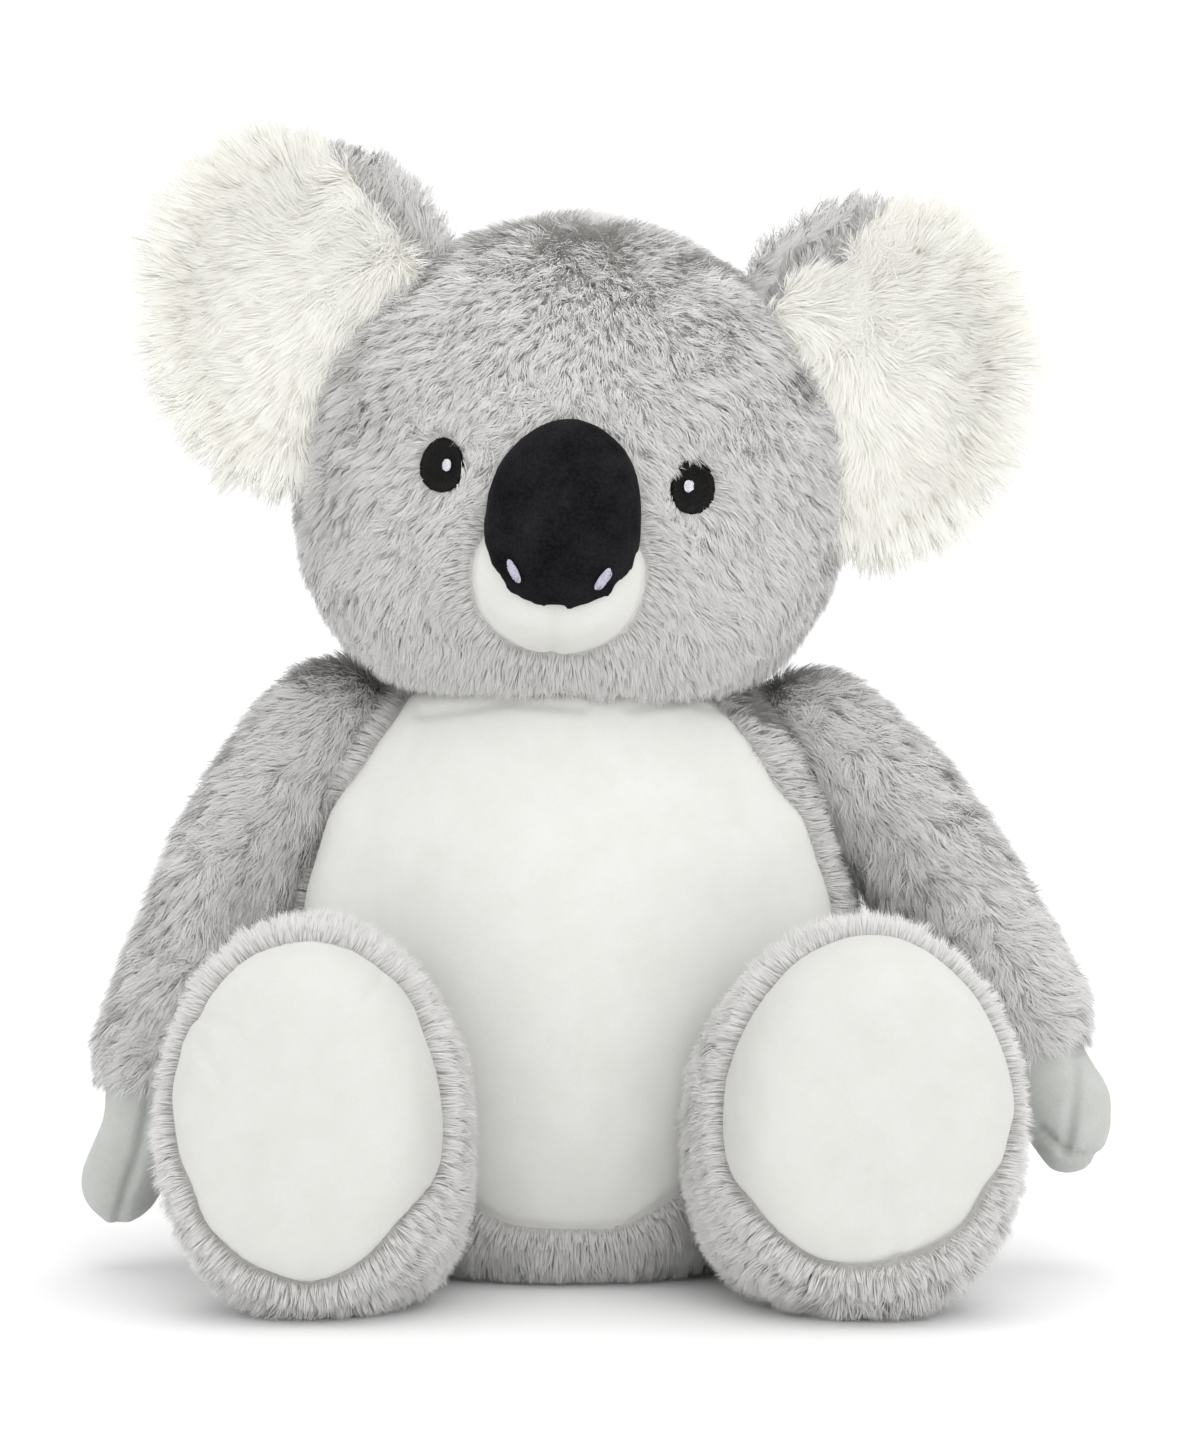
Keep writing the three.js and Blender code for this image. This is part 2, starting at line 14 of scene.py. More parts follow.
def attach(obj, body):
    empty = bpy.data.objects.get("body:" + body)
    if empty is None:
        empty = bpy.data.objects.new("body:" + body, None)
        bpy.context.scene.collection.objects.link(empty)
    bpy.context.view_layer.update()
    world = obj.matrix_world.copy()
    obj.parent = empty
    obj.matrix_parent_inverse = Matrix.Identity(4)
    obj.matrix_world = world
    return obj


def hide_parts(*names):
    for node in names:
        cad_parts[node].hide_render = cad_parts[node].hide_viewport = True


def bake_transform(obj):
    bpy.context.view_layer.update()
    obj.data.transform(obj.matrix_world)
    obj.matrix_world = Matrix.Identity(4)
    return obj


MM = 0.001
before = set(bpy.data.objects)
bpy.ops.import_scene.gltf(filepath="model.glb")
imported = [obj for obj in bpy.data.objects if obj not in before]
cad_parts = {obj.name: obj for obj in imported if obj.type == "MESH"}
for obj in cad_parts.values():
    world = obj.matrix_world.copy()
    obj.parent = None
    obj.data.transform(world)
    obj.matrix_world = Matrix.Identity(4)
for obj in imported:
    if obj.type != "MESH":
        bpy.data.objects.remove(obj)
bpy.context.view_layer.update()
random = np.random.default_rng(7)
MIDLINE = -9.5 * MM

# Camera, as the photograph was taken
AIM = (0.98 * MM, 47.85 * MM, 187.4 * MM)
CAMERA_DISTANCE = 1580 * MM
CAMERA_ELEVATION = 2
CAMERA_LENS = 112.5
SENSOR = 36

# Pile
BODY_PILE = 9.5 * MM
ARM_PILE = 12 * MM
EAR_PILE = 23 * MM
BODY_DENSITY = 3.1e6
EAR_DENSITY = 2.4e6
STRAND_WIDTH = 0.34 * MM
PIECE_FACES = 190000
SEAM_REACH = 7 * MM
PARTING_REACH = 2.4 * MM
FLOOR_GAP = 0.4 * MM
# One piece of grey pile in so many casts shadows, because light passes through real fibres
SHADOW_EVERY = 4

# Cloth
CLOTH_PRESSURE = 4
CLOTH_FRAMES = 14
SEWN_REACH = 4 * MM

PILE_SHARE = 1.0

# Lights: name, place, what it faces, diameter and power
TOY_MIDDLE = (0, 0, 0.18)
LIGHTS = [
    ("key", (0.9, -2.1, 1.4), TOY_MIDDLE, 2.4, 17),
    ("fill", (-1.7, -1.9, 0.9), TOY_MIDDLE, 2.4, 6),
    ("top", (0.2, 0.2, 2.2), TOY_MIDDLE, 2.4, 12),
    ("backdrop", (0, 0.9, 2.6), (0, 3.0, 0.7), 2.0, 14),
]
WORLD_STRENGTH = 0.94
FLOOR_SHADE = 0.93


# Arrays and meshes

def unit(vectors):
    """Rows scaled to length one."""
    return vectors / np.maximum(np.linalg.norm(vectors, axis=-1, keepdims=True), 1e-12)


def mesh_arrays(mesh):
    """A mesh's vertices and triangles as arrays."""
    mesh.calc_loop_triangles()
    co = np.empty(len(mesh.vertices) * 3, np.float32)
    mesh.vertices.foreach_get("co", co)
    tri = np.empty(len(mesh.loop_triangles) * 3, np.int32)
    mesh.loop_triangles.foreach_get("vertices", tri)
    return co.reshape(-1, 3).astype(float), tri.reshape(-1, 3)


def new_object(name, co, faces, uv=None, normals=None):
    """An object from arrays of vertices and triangles, with a UV pair and a normal per vertex if given."""
    mesh = bpy.data.meshes.new(name)
    mesh.vertices.add(len(co))
    mesh.vertices.foreach_set("co", co.astype(np.float32).ravel())
    mesh.loops.add(faces.size)
    mesh.loops.foreach_set("vertex_index", faces.astype(np.int32).ravel())
    mesh.polygons.add(len(faces))
    mesh.polygons.foreach_set("loop_start", np.arange(0, faces.size, 3, dtype=np.int32))
    if uv is not None:
        layer = mesh.uv_layers.new(name="OFBake")
        layer.data.foreach_set("uv", uv[faces.ravel()].astype(np.float32).ravel())
    mesh.update(calc_edges=True)
    mesh.polygons.foreach_set("use_smooth", np.ones(len(faces), bool))
    if normals is not None:
        layer = mesh.attributes.new("custom_normal", "FLOAT_VECTOR", "POINT")
        layer.data.foreach_set("vector", normals.astype(np.float32).ravel())
        mesh.update()
    made = bpy.data.objects.new(name, mesh)
    bpy.context.scene.collection.objects.link(made)
    return made


def apply_modifiers(made):
    """Replaces the object's mesh with what its modifiers make of it."""
    bpy.context.view_layer.update()
    graph = bpy.context.evaluated_depsgraph_get()
    mesh = bpy.data.meshes.new_from_object(made.evaluated_get(graph))
    made.modifiers.clear()
    made.data = mesh


def summed(index, values, size):
    """Rows of values added up by index."""
    return np.stack([np.bincount(index, values[:, k], size) for k in range(values.shape[1])], 1)


def triangle_cross(co, tri):
    return np.cross(co[tri[:, 1]] - co[tri[:, 0]], co[tri[:, 2]] - co[tri[:, 0]])


def vertex_normals(co, tri):
    """Smooth normals of a triangle mesh."""
    cross = triangle_cross(co, tri)
    return unit(sum(summed(tri[:, k], cross, len(co)) for k in range(3)))


def smoothed(values, tri, times):
    """Values on vertices, averaged with their neighbours a number of times."""
    start = tri.T.ravel()
    end = np.roll(tri, -1, axis=1).T.ravel()
    count = np.maximum(np.bincount(start, minlength=len(values)), 1)
    for _ in range(times):
        values = 0.5 * values + 0.5 * np.bincount(start, values[end], len(values)) / count
    return values


def slope(co, tri, values):
    """The gradient of values along a surface, at each vertex."""
    cross = triangle_cross(co, tri)
    size = np.maximum((cross**2).sum(1, keepdims=True), 1e-24)
    total = np.zeros_like(co[tri[:, 0]])
    for k in range(3):
        edge = co[tri[:, (k + 2) % 3]] - co[tri[:, (k + 1) % 3]]
        total += values[tri[:, k]][:, None] * np.cross(cross, edge) / size
    return sum(summed(tri[:, k], total, len(co)) for k in range(3)) / 6


def waves(places, wavelength, seed, count=12):
    """A smooth random vector for each place, from plane waves of about the wavelength."""
    rng = np.random.default_rng(seed)
    total = np.zeros((len(places), 3))
    for axis in range(3):
        turn = unit(rng.normal(size=(count, 3))) * (2 * math.pi / wavelength)
        turn *= rng.uniform(0.6, 1.5, (count, 1))
        phase = rng.uniform(0, 2 * math.pi, count)
        total[:, axis] = np.sin(places @ turn.T + phase).sum(1) * math.sqrt(2 / count)
    return total


# Skins

def joined_nodes(nodes):
    """The vertices and triangles of CAD nodes, joined."""
    co, tri, base = [], [], 0
    for node in nodes:
        node_co, node_tri = mesh_arrays(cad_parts[node].data)
        co.append(node_co)
        tri.append(node_tri + base)
        base += len(node_co)
    return np.concatenate(co), np.concatenate(tri)


def search_tree(nodes):
    co, tri = joined_nodes(nodes)
    return bvhtree.BVHTree.FromPolygons(co.tolist(), tri.tolist())


def nearest(tree, places):
    """For each place, the nearest point of the surfaces in the tree, and how far it is."""
    found = [tree.find_nearest(Vector(place)) for place in places]
    return np.array([hit[0] for hit in found]), np.array([hit[3] for hit in found])


def largest_island(co, tri):
    """The vertices and triangles of the largest connected piece."""
    label = np.arange(len(co))
    while True:
        low = label[tri].min(1)
        lower = label.copy()
        for k in range(3):
            np.minimum.at(lower, tri[:, k], low)
        lower = lower[lower]
        if (lower == label).all():
            break
        label = lower
    most = np.bincount(label).argmax()
    used = tri[label[tri[:, 0]] == most]
    index, faces = np.unique(used, return_inverse=True)
    return co[index], faces.reshape(-1, 3)


class Skin:
    """A closed fabric surface: its vertices, its triangles, and values on its vertices by name."""

    def __init__(self, name, nodes, voxel, rounds, puff):
        """The outer surface of CAD nodes with its facets smoothed away, `puff` larger."""
        self.name = name
        self.values = {}
        made = new_object(name, *joined_nodes(nodes))
        remesh = made.modifiers.new("remesh", "REMESH")
        remesh.mode = "VOXEL"
        remesh.voxel_size = voxel
        apply_modifiers(made)
        co, tri = largest_island(*mesh_arrays(made.data))
        bpy.data.objects.remove(made)
        for axis in range(3):
            co[:, axis] = smoothed(co[:, axis], tri, rounds)
        normals = vertex_normals(co, tri)
        target, _ = nearest(search_tree(nodes), co)
        lost = smoothed(((target - co) * normals).sum(1), tri, 12)
        self.co, self.tri = co + (lost + puff)[:, None] * normals, tri

    def normals(self):
        return vertex_normals(self.co, self.tri)

    def edges(self):
        return np.concatenate([self.tri[:, [0, 1]], self.tri[:, [1, 2]], self.tri[:, [2, 0]]])

    def seam(self, name, one, other, rounds=3):
        """Names each vertex's distance from the seam between two sets of nodes, below 0 on the first side."""
        field = nearest(search_tree(one), self.co)[1] - nearest(search_tree(other), self.co)[1]
        self.values[name] = smoothed(field, self.tri, rounds)

    def inflate(self, seam, cap):
        """Some frames of cloth under pressure, sewn down at the seam. No point moves further than the cap."""
        made = new_object(self.name, self.co, self.tri)
        group = made.vertex_groups.new(name="sewn")
        held = np.exp(-((self.values[seam] / SEWN_REACH) ** 2))
        for i in np.flatnonzero(held > 0.02):
            group.add([int(i)], float(held[i]), "REPLACE")
        cloth = made.modifiers.new("cloth", "CLOTH")
        cloth.settings.use_pressure = True
        cloth.settings.uniform_pressure_force = CLOTH_PRESSURE
        cloth.settings.effector_weights.gravity = 0
        cloth.settings.vertex_group_mass = "sewn"
        for number in range(1, CLOTH_FRAMES + 1):
            bpy.context.scene.frame_set(number)
        graph = bpy.context.evaluated_depsgraph_get()
        moved, _ = mesh_arrays(made.evaluated_get(graph).data)
        step = moved - self.co
        reach = np.maximum(np.linalg.norm(step, axis=1, keepdims=True), 1e-9)
        self.co = self.co + step * cap * np.tanh(reach / cap) / reach
        bpy.data.objects.remove(made)
        bpy.context.scene.frame_set(1)

    def divide(self):
        """Splits each triangle in four and rounds the result, with the values carried over."""
        edges, index = np.unique(np.sort(self.edges(), axis=1), axis=0, return_inverse=True)
        a, b, c = self.tri.T
        ab, bc, ca = len(self.co) + index.reshape(3, -1)
        corners = ((a, ab, ca), (ab, b, bc), (ca, bc, c), (ab, bc, ca))
        self.tri = np.concatenate([np.stack(three, 1) for three in corners])
        for name, values in self.values.items():
            self.values[name] = np.concatenate([values, values[edges].mean(1)])
        co = np.concatenate([self.co, self.co[edges].mean(1)])
        self.co = np.stack([smoothed(co[:, axis], self.tri, 2) for axis in range(3)], 1)

    def snap(self, name):
        """Moves the vertices next to the seam onto it."""
        field = self.values[name]
        edges = self.edges()
        a, b = edges[(field[edges[:, 0]] < 0) != (field[edges[:, 1]] < 0)].T
        share = field[a] / (field[a] - field[b])
        mover = np.where(share < 0.5, a, b)
        place = self.co[a] + share[:, None] * (self.co[b] - self.co[a])
        total = summed(mover, place, len(self.co))
        count = np.bincount(mover, minlength=len(self.co))
        moved = count > 0
        self.co[moved] = total[moved] / count[moved, None]
        field[moved] = 0

    def press(self, depth):
        """Moves each vertex in by its depth."""
        self.co = self.co - depth[:, None] * self.normals()

    def groove(self, name, depth, width=2.6 * MM):
        """Draws the skin in along a seam."""
        self.press(depth * np.exp(-((self.values[name] / width) ** 2)))

    def swell(self, place, radius, height):
        """Raises the skin round a place given in millimetres."""
        far = np.linalg.norm(self.co - np.array(place) * MM, axis=1)
        self.press(-height * np.exp(-((far / radius) ** 2)))

    def crease(self, line, depth, width, pucker=0.0):
        """Draws the front of the skin in along a line of places in millimetres, puckered beside it."""
        line = np.array(line, float)[:, [0, 2]] * MM
        flat = self.co[:, [0, 2]]
        far, along, run = np.full(len(flat), 1.0), np.zeros(len(flat)), 0.0
        for start, end in zip(line[:-1], line[1:]):
            size = np.linalg.norm(end - start)
            share = np.clip((flat - start) @ (end - start) / size**2, 0, 1)
            gap = np.linalg.norm(flat - start - share[:, None] * (end - start), axis=1)
            along = np.where(gap < far, run + share * size, along)
            far = np.minimum(far, gap)
            run += size
        front = np.clip(0.5 - 2 * self.normals()[:, 1], 0, 1)
        ripple = np.sin(2 * math.pi * along / (2.6 * MM)) * np.exp(-((far / (2.2 * width)) ** 2))
        self.press(front * (depth * np.exp(-((far / width) ** 2)) + pucker * ripple))

    def shift(self, name, places):
        """Moves a seam here and there: each place (x, z) as seen from the front, with a radius and how far it
        moves in towards the first side, in millimetres."""
        for x, z, radius, inward in places:
            far = np.hypot(self.co[:, 0] - x * MM, self.co[:, 2] - z * MM)
            self.values[name] = self.values[name] + inward * MM * np.exp(-((far / (radius * MM)) ** 2))

    def waver(self, name, size, wavelength, seed):
        """Lets a seam run less evenly."""
        self.values[name] = self.values[name] + size * waves(self.co, wavelength, seed)[:, 0]

    def side(self, name, positive=True):
        """Which triangles lie on a side of a seam."""
        value = self.values[name][self.tri].mean(1)
        return value > 0 if positive else value <= 0

    def panel(self, name, keep):
        """An object of the triangles that are kept."""
        index, faces = np.unique(self.tri[keep], return_inverse=True)
        return new_object(name, self.co[index], faces.reshape(-1, 3))

    def scattered(self, keep, density, values=()):
        """Random places on the kept triangles, with the normal and the named values there."""
        chosen = self.tri[keep]
        area = np.linalg.norm(triangle_cross(self.co, chosen), axis=1) / 2
        count = int(area.sum() * density * PILE_SHARE)
        picked = chosen[random.choice(len(chosen), count, p=area / area.sum())]
        a, b = random.random((2, count))
        a, b = np.where(a + b > 1, (1 - a, 1 - b), (a, b))
        shares = np.stack([1 - a - b, a, b], 1)

        def mixed(what):
            return (shares[:, :, None] * what[picked]).sum(1)

        found = [mixed(self.co), unit(mixed(self.normals()))]
        for name in values:
            field = self.values[name]
            found += [mixed(field[:, None])[:, 0], unit(mixed(slope(self.co, self.tri, field)))]
        return found


# Materials

def material(name, roughness, sheen=0.0, sheen_roughness=0.5, specular=0.3):
    """A new material, with its node tree and its shader."""
    made = bpy.data.materials.new(name)
    made.use_nodes = True
    shader = made.node_tree.nodes["Principled BSDF"]
    shader.inputs["Roughness"].default_value = roughness
    shader.inputs["Sheen Weight"].default_value = sheen
    shader.inputs["Sheen Roughness"].default_value = sheen_roughness
    shader.inputs["Specular IOR Level"].default_value = specular
    return made, made.node_tree, shader


def add_node(tree, kind, inputs=None, **settings):
    """A node with its settings, and its inputs set to values or linked to sockets."""
    node = tree.nodes.new(kind)
    for key, value in settings.items():
        setattr(node, key, value)
    for key, value in (inputs or {}).items():
        if isinstance(value, bpy.types.NodeSocket):
            tree.links.new(value, node.inputs[key])
        else:
            node.inputs[key].default_value = value
    return node


def ramp(tree, factor, stops):
    """A colour ramp over the factor."""
    node = add_node(tree, "ShaderNodeValToRGB", {"Fac": factor})
    elements = node.color_ramp.elements
    while len(elements) < len(stops):
        elements.new(0.5)
    for element, (place, colour) in zip(elements, stops):
        element.position = place
        element.color = (*colour, 1)
    return node.outputs["Color"]


def noise(tree, place, scale, detail=2.0, roughness=0.5):
    inputs = {"Vector": place, "Scale": scale, "Detail": detail, "Roughness": roughness}
    return add_node(tree, "ShaderNodeTexNoise", inputs).outputs["Fac"]


def object_place(tree):
    return add_node(tree, "ShaderNodeTexCoord").outputs["Object"]


def bumped(tree, shader, height, strength, distance):
    node = add_node(tree, "ShaderNodeBump", {"Height": height, "Strength": strength, "Distance": distance})
    tree.links.new(node.outputs["Normal"], shader.inputs["Normal"])


def pile_material(name, root_painted_shade, middle, tip, dark):
    """Pile darker towards each strand's root with painted shade, each strand with its own shade, both from
    its UV.
    """
    made, tree, shader = material(name, 0.9, sheen=0.05, specular=0.2)
    uv = add_node(tree, "ShaderNodeUVMap", uv_map="OFBake")
    split = add_node(tree, "ShaderNodeSeparateXYZ", {0: uv.outputs["UV"]})
    # The ramp darkens each strand towards its root: painted shade deep in the pile, creamy in the white pile.
    along = ramp(tree, split.outputs["Y"], [(0.0, root_painted_shade), (0.4, middle), (0.95, tip)])
    shade = ramp(tree, split.outputs["X"], [(0.0, dark), (1.0, (1, 1, 1))])
    inputs = {0: 1.0, 6: along, 7: shade}
    mixed = add_node(tree, "ShaderNodeMix", inputs, data_type="RGBA", blend_type="MULTIPLY")
    tree.links.new(mixed.outputs[2], shader.inputs["Base Color"])
    return made


def backing_material(name, colour, deep):
    """The knitted backing that pile stands on."""
    made, tree, shader = material(name, 0.95)
    grain = noise(tree, object_place(tree), 900.0)
    tree.links.new(ramp(tree, grain, [(0.3, deep), (0.7, colour)]), shader.inputs["Base Color"])
    bumped(tree, shader, grain, 0.5, 0.4 * MM)
    return made


def velboa_material(name, colour, shade, nap, sheen, height=0.25, specular=0.2):
    """Short smooth pile: a fine nap grain, with lighter patches painted where the brushed nap would catch the
    light: painted sheen.
    """
    made, tree, shader = material(name, 0.8, sheen=sheen, sheen_roughness=0.4, specular=specular)
    place = object_place(tree)
    # Lighter patches where the nap was brushed: painted sheen.
    painted_sheen_patches = noise(tree, place, 70.0, 4.0, 0.6)
    fibres = noise(tree, place, nap, 5.0, 0.7)
    total = add_node(tree, "ShaderNodeMath", {0: painted_sheen_patches, 1: fibres}, operation="ADD").outputs[0]
    halved = add_node(tree, "ShaderNodeMath", {0: total, 1: 0.5}, operation="MULTIPLY").outputs[0]
    tree.links.new(ramp(tree, halved, [(0.35, shade), (0.65, colour)]), shader.inputs["Base Color"])
    bumped(tree, shader, halved, 0.6, height * MM)
    return made


def thread_material(name, colour, shade, specular=0.4):
    """Embroidery thread, glossy, with a fine twist along it."""
    made, tree, shader = material(name, 0.45, specular=specular)
    twist = noise(tree, object_place(tree), 1800.0)
    tree.links.new(ramp(tree, twist, [(0.35, shade), (0.65, colour)]), shader.inputs["Base Color"])
    bumped(tree, shader, twist, 0.4, 0.1 * MM)
    return made


# Pile colours: root, middle, tip and darkest random shade; the darker roots are painted shade deep in the
# pile.
MATERIALS = {
    "grey_pile": pile_material(
        "grey_pile", (0.70, 0.685, 0.675), (0.75, 0.745, 0.735), (0.79, 0.785, 0.78), (0.90, 0.895, 0.885),
    ),
    "white_pile": pile_material(
        "white_pile", (0.93, 0.915, 0.84), (0.95, 0.942, 0.90), (0.95, 0.945, 0.915), (0.965, 0.96, 0.94),
    ),
    "grey_backing": backing_material("grey_backing", (0.62, 0.60, 0.585), (0.50, 0.48, 0.465)),
    # The legs' backing is a darker copy of the grey one: painted shade for the shadow along the sole seam and
    # under the leg fur.
    "leg_backing_painted_shade": backing_material("leg_backing_painted_shade", (0.52, 0.505, 0.49), (0.42, 0.41, 0.40)),
    "white_backing": backing_material("white_backing", (0.90, 0.885, 0.82), (0.82, 0.80, 0.72)),
    "velboa": velboa_material("velboa", (0.77, 0.77, 0.745), (0.72, 0.718, 0.685), 1400.0, 0.05),
    # The soles' white velboa is painted darker than the belly's: painted shade against the stronger light on
    # the upturned soles.
    "sole_velboa_painted_shade": velboa_material("sole_velboa_painted_shade", (0.66, 0.66, 0.635), (0.62, 0.617, 0.59), 1400.0, 0.05),
    "hand_velboa": velboa_material("hand_velboa", (0.56, 0.573, 0.553), (0.47, 0.485, 0.46), 1200.0, 0.1),
    "nose_velboa": velboa_material(
        "nose_velboa", (0.017, 0.016, 0.019), (0.001, 0.001, 0.0015), 900.0, 0.02, 0.8, specular=0.05,
    ),
    "black_thread": thread_material(
        "black_thread", (0.010, 0.009, 0.008), (0.003, 0.003, 0.003), specular=0.15,
    ),
    "white_thread": thread_material("white_thread", (0.80, 0.79, 0.84), (0.66, 0.65, 0.72)),
    "pale_thread": thread_material("pale_thread", (0.60, 0.59, 0.69), (0.42, 0.41, 0.52)),
}


class Ties:
    """A section's body, or its neighbour and the ends of the bend between them; a bend's pieces are tied to
    nothing.
    """

    def __init__(self, body, neighbour=None, start=None, end=None):
        self.body, self.neighbour = body, neighbour
        self.start, self.end = start, end

    def finish(self, made, look, nodes=(), fill=None):
        """Gives a piece its material and slot, hides its CAD nodes, and ties it to its body; a piece at a
        bend is only fixed in place.
        """
        made.data.materials.clear()
        made.data.materials.append(MATERIALS[look])
        if nodes:
            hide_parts(*nodes)
        if self.neighbour:
            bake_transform(made)
        else:
            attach(made, self.body)


# Pile

def combed(places, facing, anchors, near=14 * MM):
    """The way the pile is combed at each place, and how flat it lies from 0, upright, to 1. Both are blended
    from anchors, each a place in millimetres, a direction and a lean."""
    direction = np.zeros_like(places)
    lean = np.zeros(len(places))
    total = np.zeros(len(places))
    for place, way, flat in anchors:
        weight = 1 / (((places - np.array(place) * MM) ** 2).sum(1) + near**2) ** 1.5
        direction += weight[:, None] * unit(np.array(way, float))
        lean += weight * flat
        total += weight
    direction /= total[:, None]
    return direction - (direction * facing).sum(1)[:, None] * facing, lean / total


def strands(name, places, facing, way, lean, length, width, clump, hold, frizz, stray, segments):
    """Objects of combed pile. Each strand starts upright and bends over towards `way`, and a clump's tips
    lean together as far as `hold` says. A strand is a tapering ribbon, its UV its shade and its height."""
    count = len(places)
    centres = places[random.permutation(count)[: max(1, int(count / clump))]]
    tree = kdtree.KDTree(len(centres))
    for i, centre in enumerate(centres):
        tree.insert(centre, i)
    tree.balance()
    group = np.array([tree.find(place)[1] for place in places])
    groups = len(centres)

    along = way + random.normal(0, stray, (groups, 3))[group] + random.normal(0, frizz, (count, 3))
    along = unit(along - (along * facing).sum(1)[:, None] * facing)
    angle = np.clip(lean + random.normal(0, 0.06, count), 0.03, 0.97) * (math.pi / 2)
    size = length * random.uniform(0.82, 1.12, groups)[group] * random.uniform(0.75, 1.1, count)
    early = angle * 0.55
    half = (0.5 * size)[:, None]
    middle = places + half * (np.cos(early)[:, None] * facing + np.sin(early)[:, None] * along)
    tip = middle + half * (np.cos(angle)[:, None] * facing + np.sin(angle)[:, None] * along)

    members = np.maximum(np.bincount(group, minlength=groups), 1)[:, None]
    middle += 0.35 * hold * ((summed(group, middle, groups) / members)[group] - middle)
    tip += hold * ((summed(group, tip, groups) / members)[group] - tip)

    steps = np.linspace(0, 1, segments + 1)
    first = places - 0.4 * MM * facing
    bend = 2 * middle - (first + tip) / 2
    curve = [(1 - s) ** 2 * first + 2 * s * (1 - s) * bend + s**2 * tip for s in steps]
    line = tip - places
    side = unit(np.cross(line, facing) + 1e-9)
    over = unit(np.cross(side, line))
    turn = random.uniform(-0.6, 0.6, count)[:, None]
    across = np.cos(turn) * side + np.sin(turn) * over
    outward = unit(0.75 * facing + 0.35 * over + 0.25 * np.sin(turn) * side)
    shade = np.clip(0.55 * random.random(count) + 0.45 * random.random(groups)[group], 0, 0.98)
    wide = 0.5 * width * random.uniform(0.6, 1.3, (count, 1))

    rows = []
    for step, centre in zip(steps[:-1], curve[:-1]):
        rows += [centre - wide * (1 - step**2) * across, centre + wide * (1 - step**2) * across]
    rows.append(curve[-1])
    co = np.stack(rows, 1)
    per = len(rows)
    low = FLOOR_GAP * (0.5 + random.random((count, 1)))
    co[..., 2] = np.maximum(co[..., 2], low)
    height = np.append(np.repeat(steps[:-1], 2), 1.0)
    u = shade[:, None] + np.append(np.tile([0.0, 0.01], segments), 0.005)
    uv = np.stack([u, np.broadcast_to(height, (count, per))], 2)
    pattern = []
    for k in range(0, 2 * segments - 2, 2):
        pattern += [(k, k + 1, k + 3), (k, k + 3, k + 2)]
    pattern = np.array(pattern + [(per - 3, per - 2, per - 1)])
    flip = (np.cross(across, line) * facing).sum(1) < 0

    made = []
    each = min(PIECE_FACES // len(pattern), count // 4 + 1)
    for start in range(0, count, each):
        part = slice(start, start + each)
        base = np.arange(len(co[part]))[:, None, None] * per
        faces = np.where(flip[part][:, None, None], pattern[:, ::-1], pattern) + base
        made.append(new_object(
            f"{name}_{len(made) + 1}", co[part].reshape(-1, 3), faces.reshape(-1, 3),
            uv[part].reshape(-1, 2), np.repeat(outward[part], per, axis=0),
        ))
    return made


def plush(skin, name, keep, ties, look, anchors, density, length, seams=(), gaps=(), segments=2,
          width=STRAND_WIDTH, clump=26, hold=0.32, frizz=0.3, swirl=0.25, stray=0.22, at_seam=0.6,
          seam_lean=0.75, parting=0, edge_lean=1.0, over=False, bare=0):
    """Grows pile on the kept triangles, combed by the anchors, `swirl` as uneven.

    clump, hold, frizz and stray: strands in a clump, how far their tips join, and how far a strand and a
        clump turn from the combed way.
    at_seam, seam_lean: the share of length and of lean that is left at a seam. The pile leans away from it,
        or over it where `over` is set, and the skin stays bare as near to it as `bare` says.
    parting: how far from the seam the pile is short and parted.
    edge_lean: the share of lean that is left where the skin is seen from its edge.
    gaps: ovals seen from the front, each (x, z, half width, half height) in millimetres and how strongly the
        pile turns away from it.
    """
    found = skin.scattered(keep, density, seams)
    places, facing = found[:2]
    way, lean = combed(places, facing, anchors)
    way = unit(way) + swirl * waves(places, 24 * MM, 11) + 0.5 * swirl * waves(places, 8 * MM, 12)
    size = np.full(len(places), float(length))
    for number in range(len(seams)):
        far, rise = found[2 + 2 * number], found[3 + 2 * number]
        by = np.exp(-((far / SEAM_REACH) ** 2))[:, None]
        way += (-1.0 if over else 2.2) * by * np.sign(far)[:, None] * rise
        size *= 1 - (1 - at_seam) * by[:, 0]
        lean *= 1 - (1 - seam_lean) * by[:, 0]
        if parting:
            size *= 1 - 0.8 * np.exp(-(((far - parting) / PARTING_REACH) ** 2))
    lean *= edge_lean + (1 - edge_lean) * facing[:, 1] ** 2
    kept = np.abs(found[2]) > bare if seams else np.ones(len(places), bool)
    if parting:
        kept &= np.abs(found[2] - parting) > 0.5 * bare
    for x, z, half_width, half_height, push in gaps:
        off = (places[:, [0, 2]] - np.array([x, z]) * MM) / (np.array([half_width, half_height]) * MM)
        reach = np.linalg.norm(off, axis=1)
        front = facing[:, 1] < 0.2
        kept &= ~((reach < 1) & front)
        by = np.clip((1.9 - reach) / 0.9, 0, 1) * front
        outward = np.stack([off[:, 0], np.zeros(len(off)), off[:, 1]], 1) / np.maximum(reach, 1e-6)[:, None]
        way += push * 2.5 * by[:, None] * outward
        size *= 1 - 0.5 * push * by
    pieces = strands(name, places[kept], facing[kept], way[kept], lean[kept], size[kept],
                     width, clump, hold, frizz, stray, segments)
    for number, piece in enumerate(pieces):
        piece.visible_shadow = number % SHADOW_EVERY == 0 and look == "grey_pile"
        ties.finish(piece, look)


# Embroidery

def hull(points):
    """The convex outline of points in a plane."""
    points = sorted(map(tuple, points))

    def chain(run):
        kept = []
        for p in run:
            while len(kept) > 1:
                (ax, ay), (bx, by) = kept[-2], kept[-1]
                if (bx - ax) * (p[1] - ay) - (by - ay) * (p[0] - ax) > 0:
                    break
                kept.pop()
            kept.append(p)
        return kept[:-1]

    return np.array(chain(points) + chain(points[::-1]))


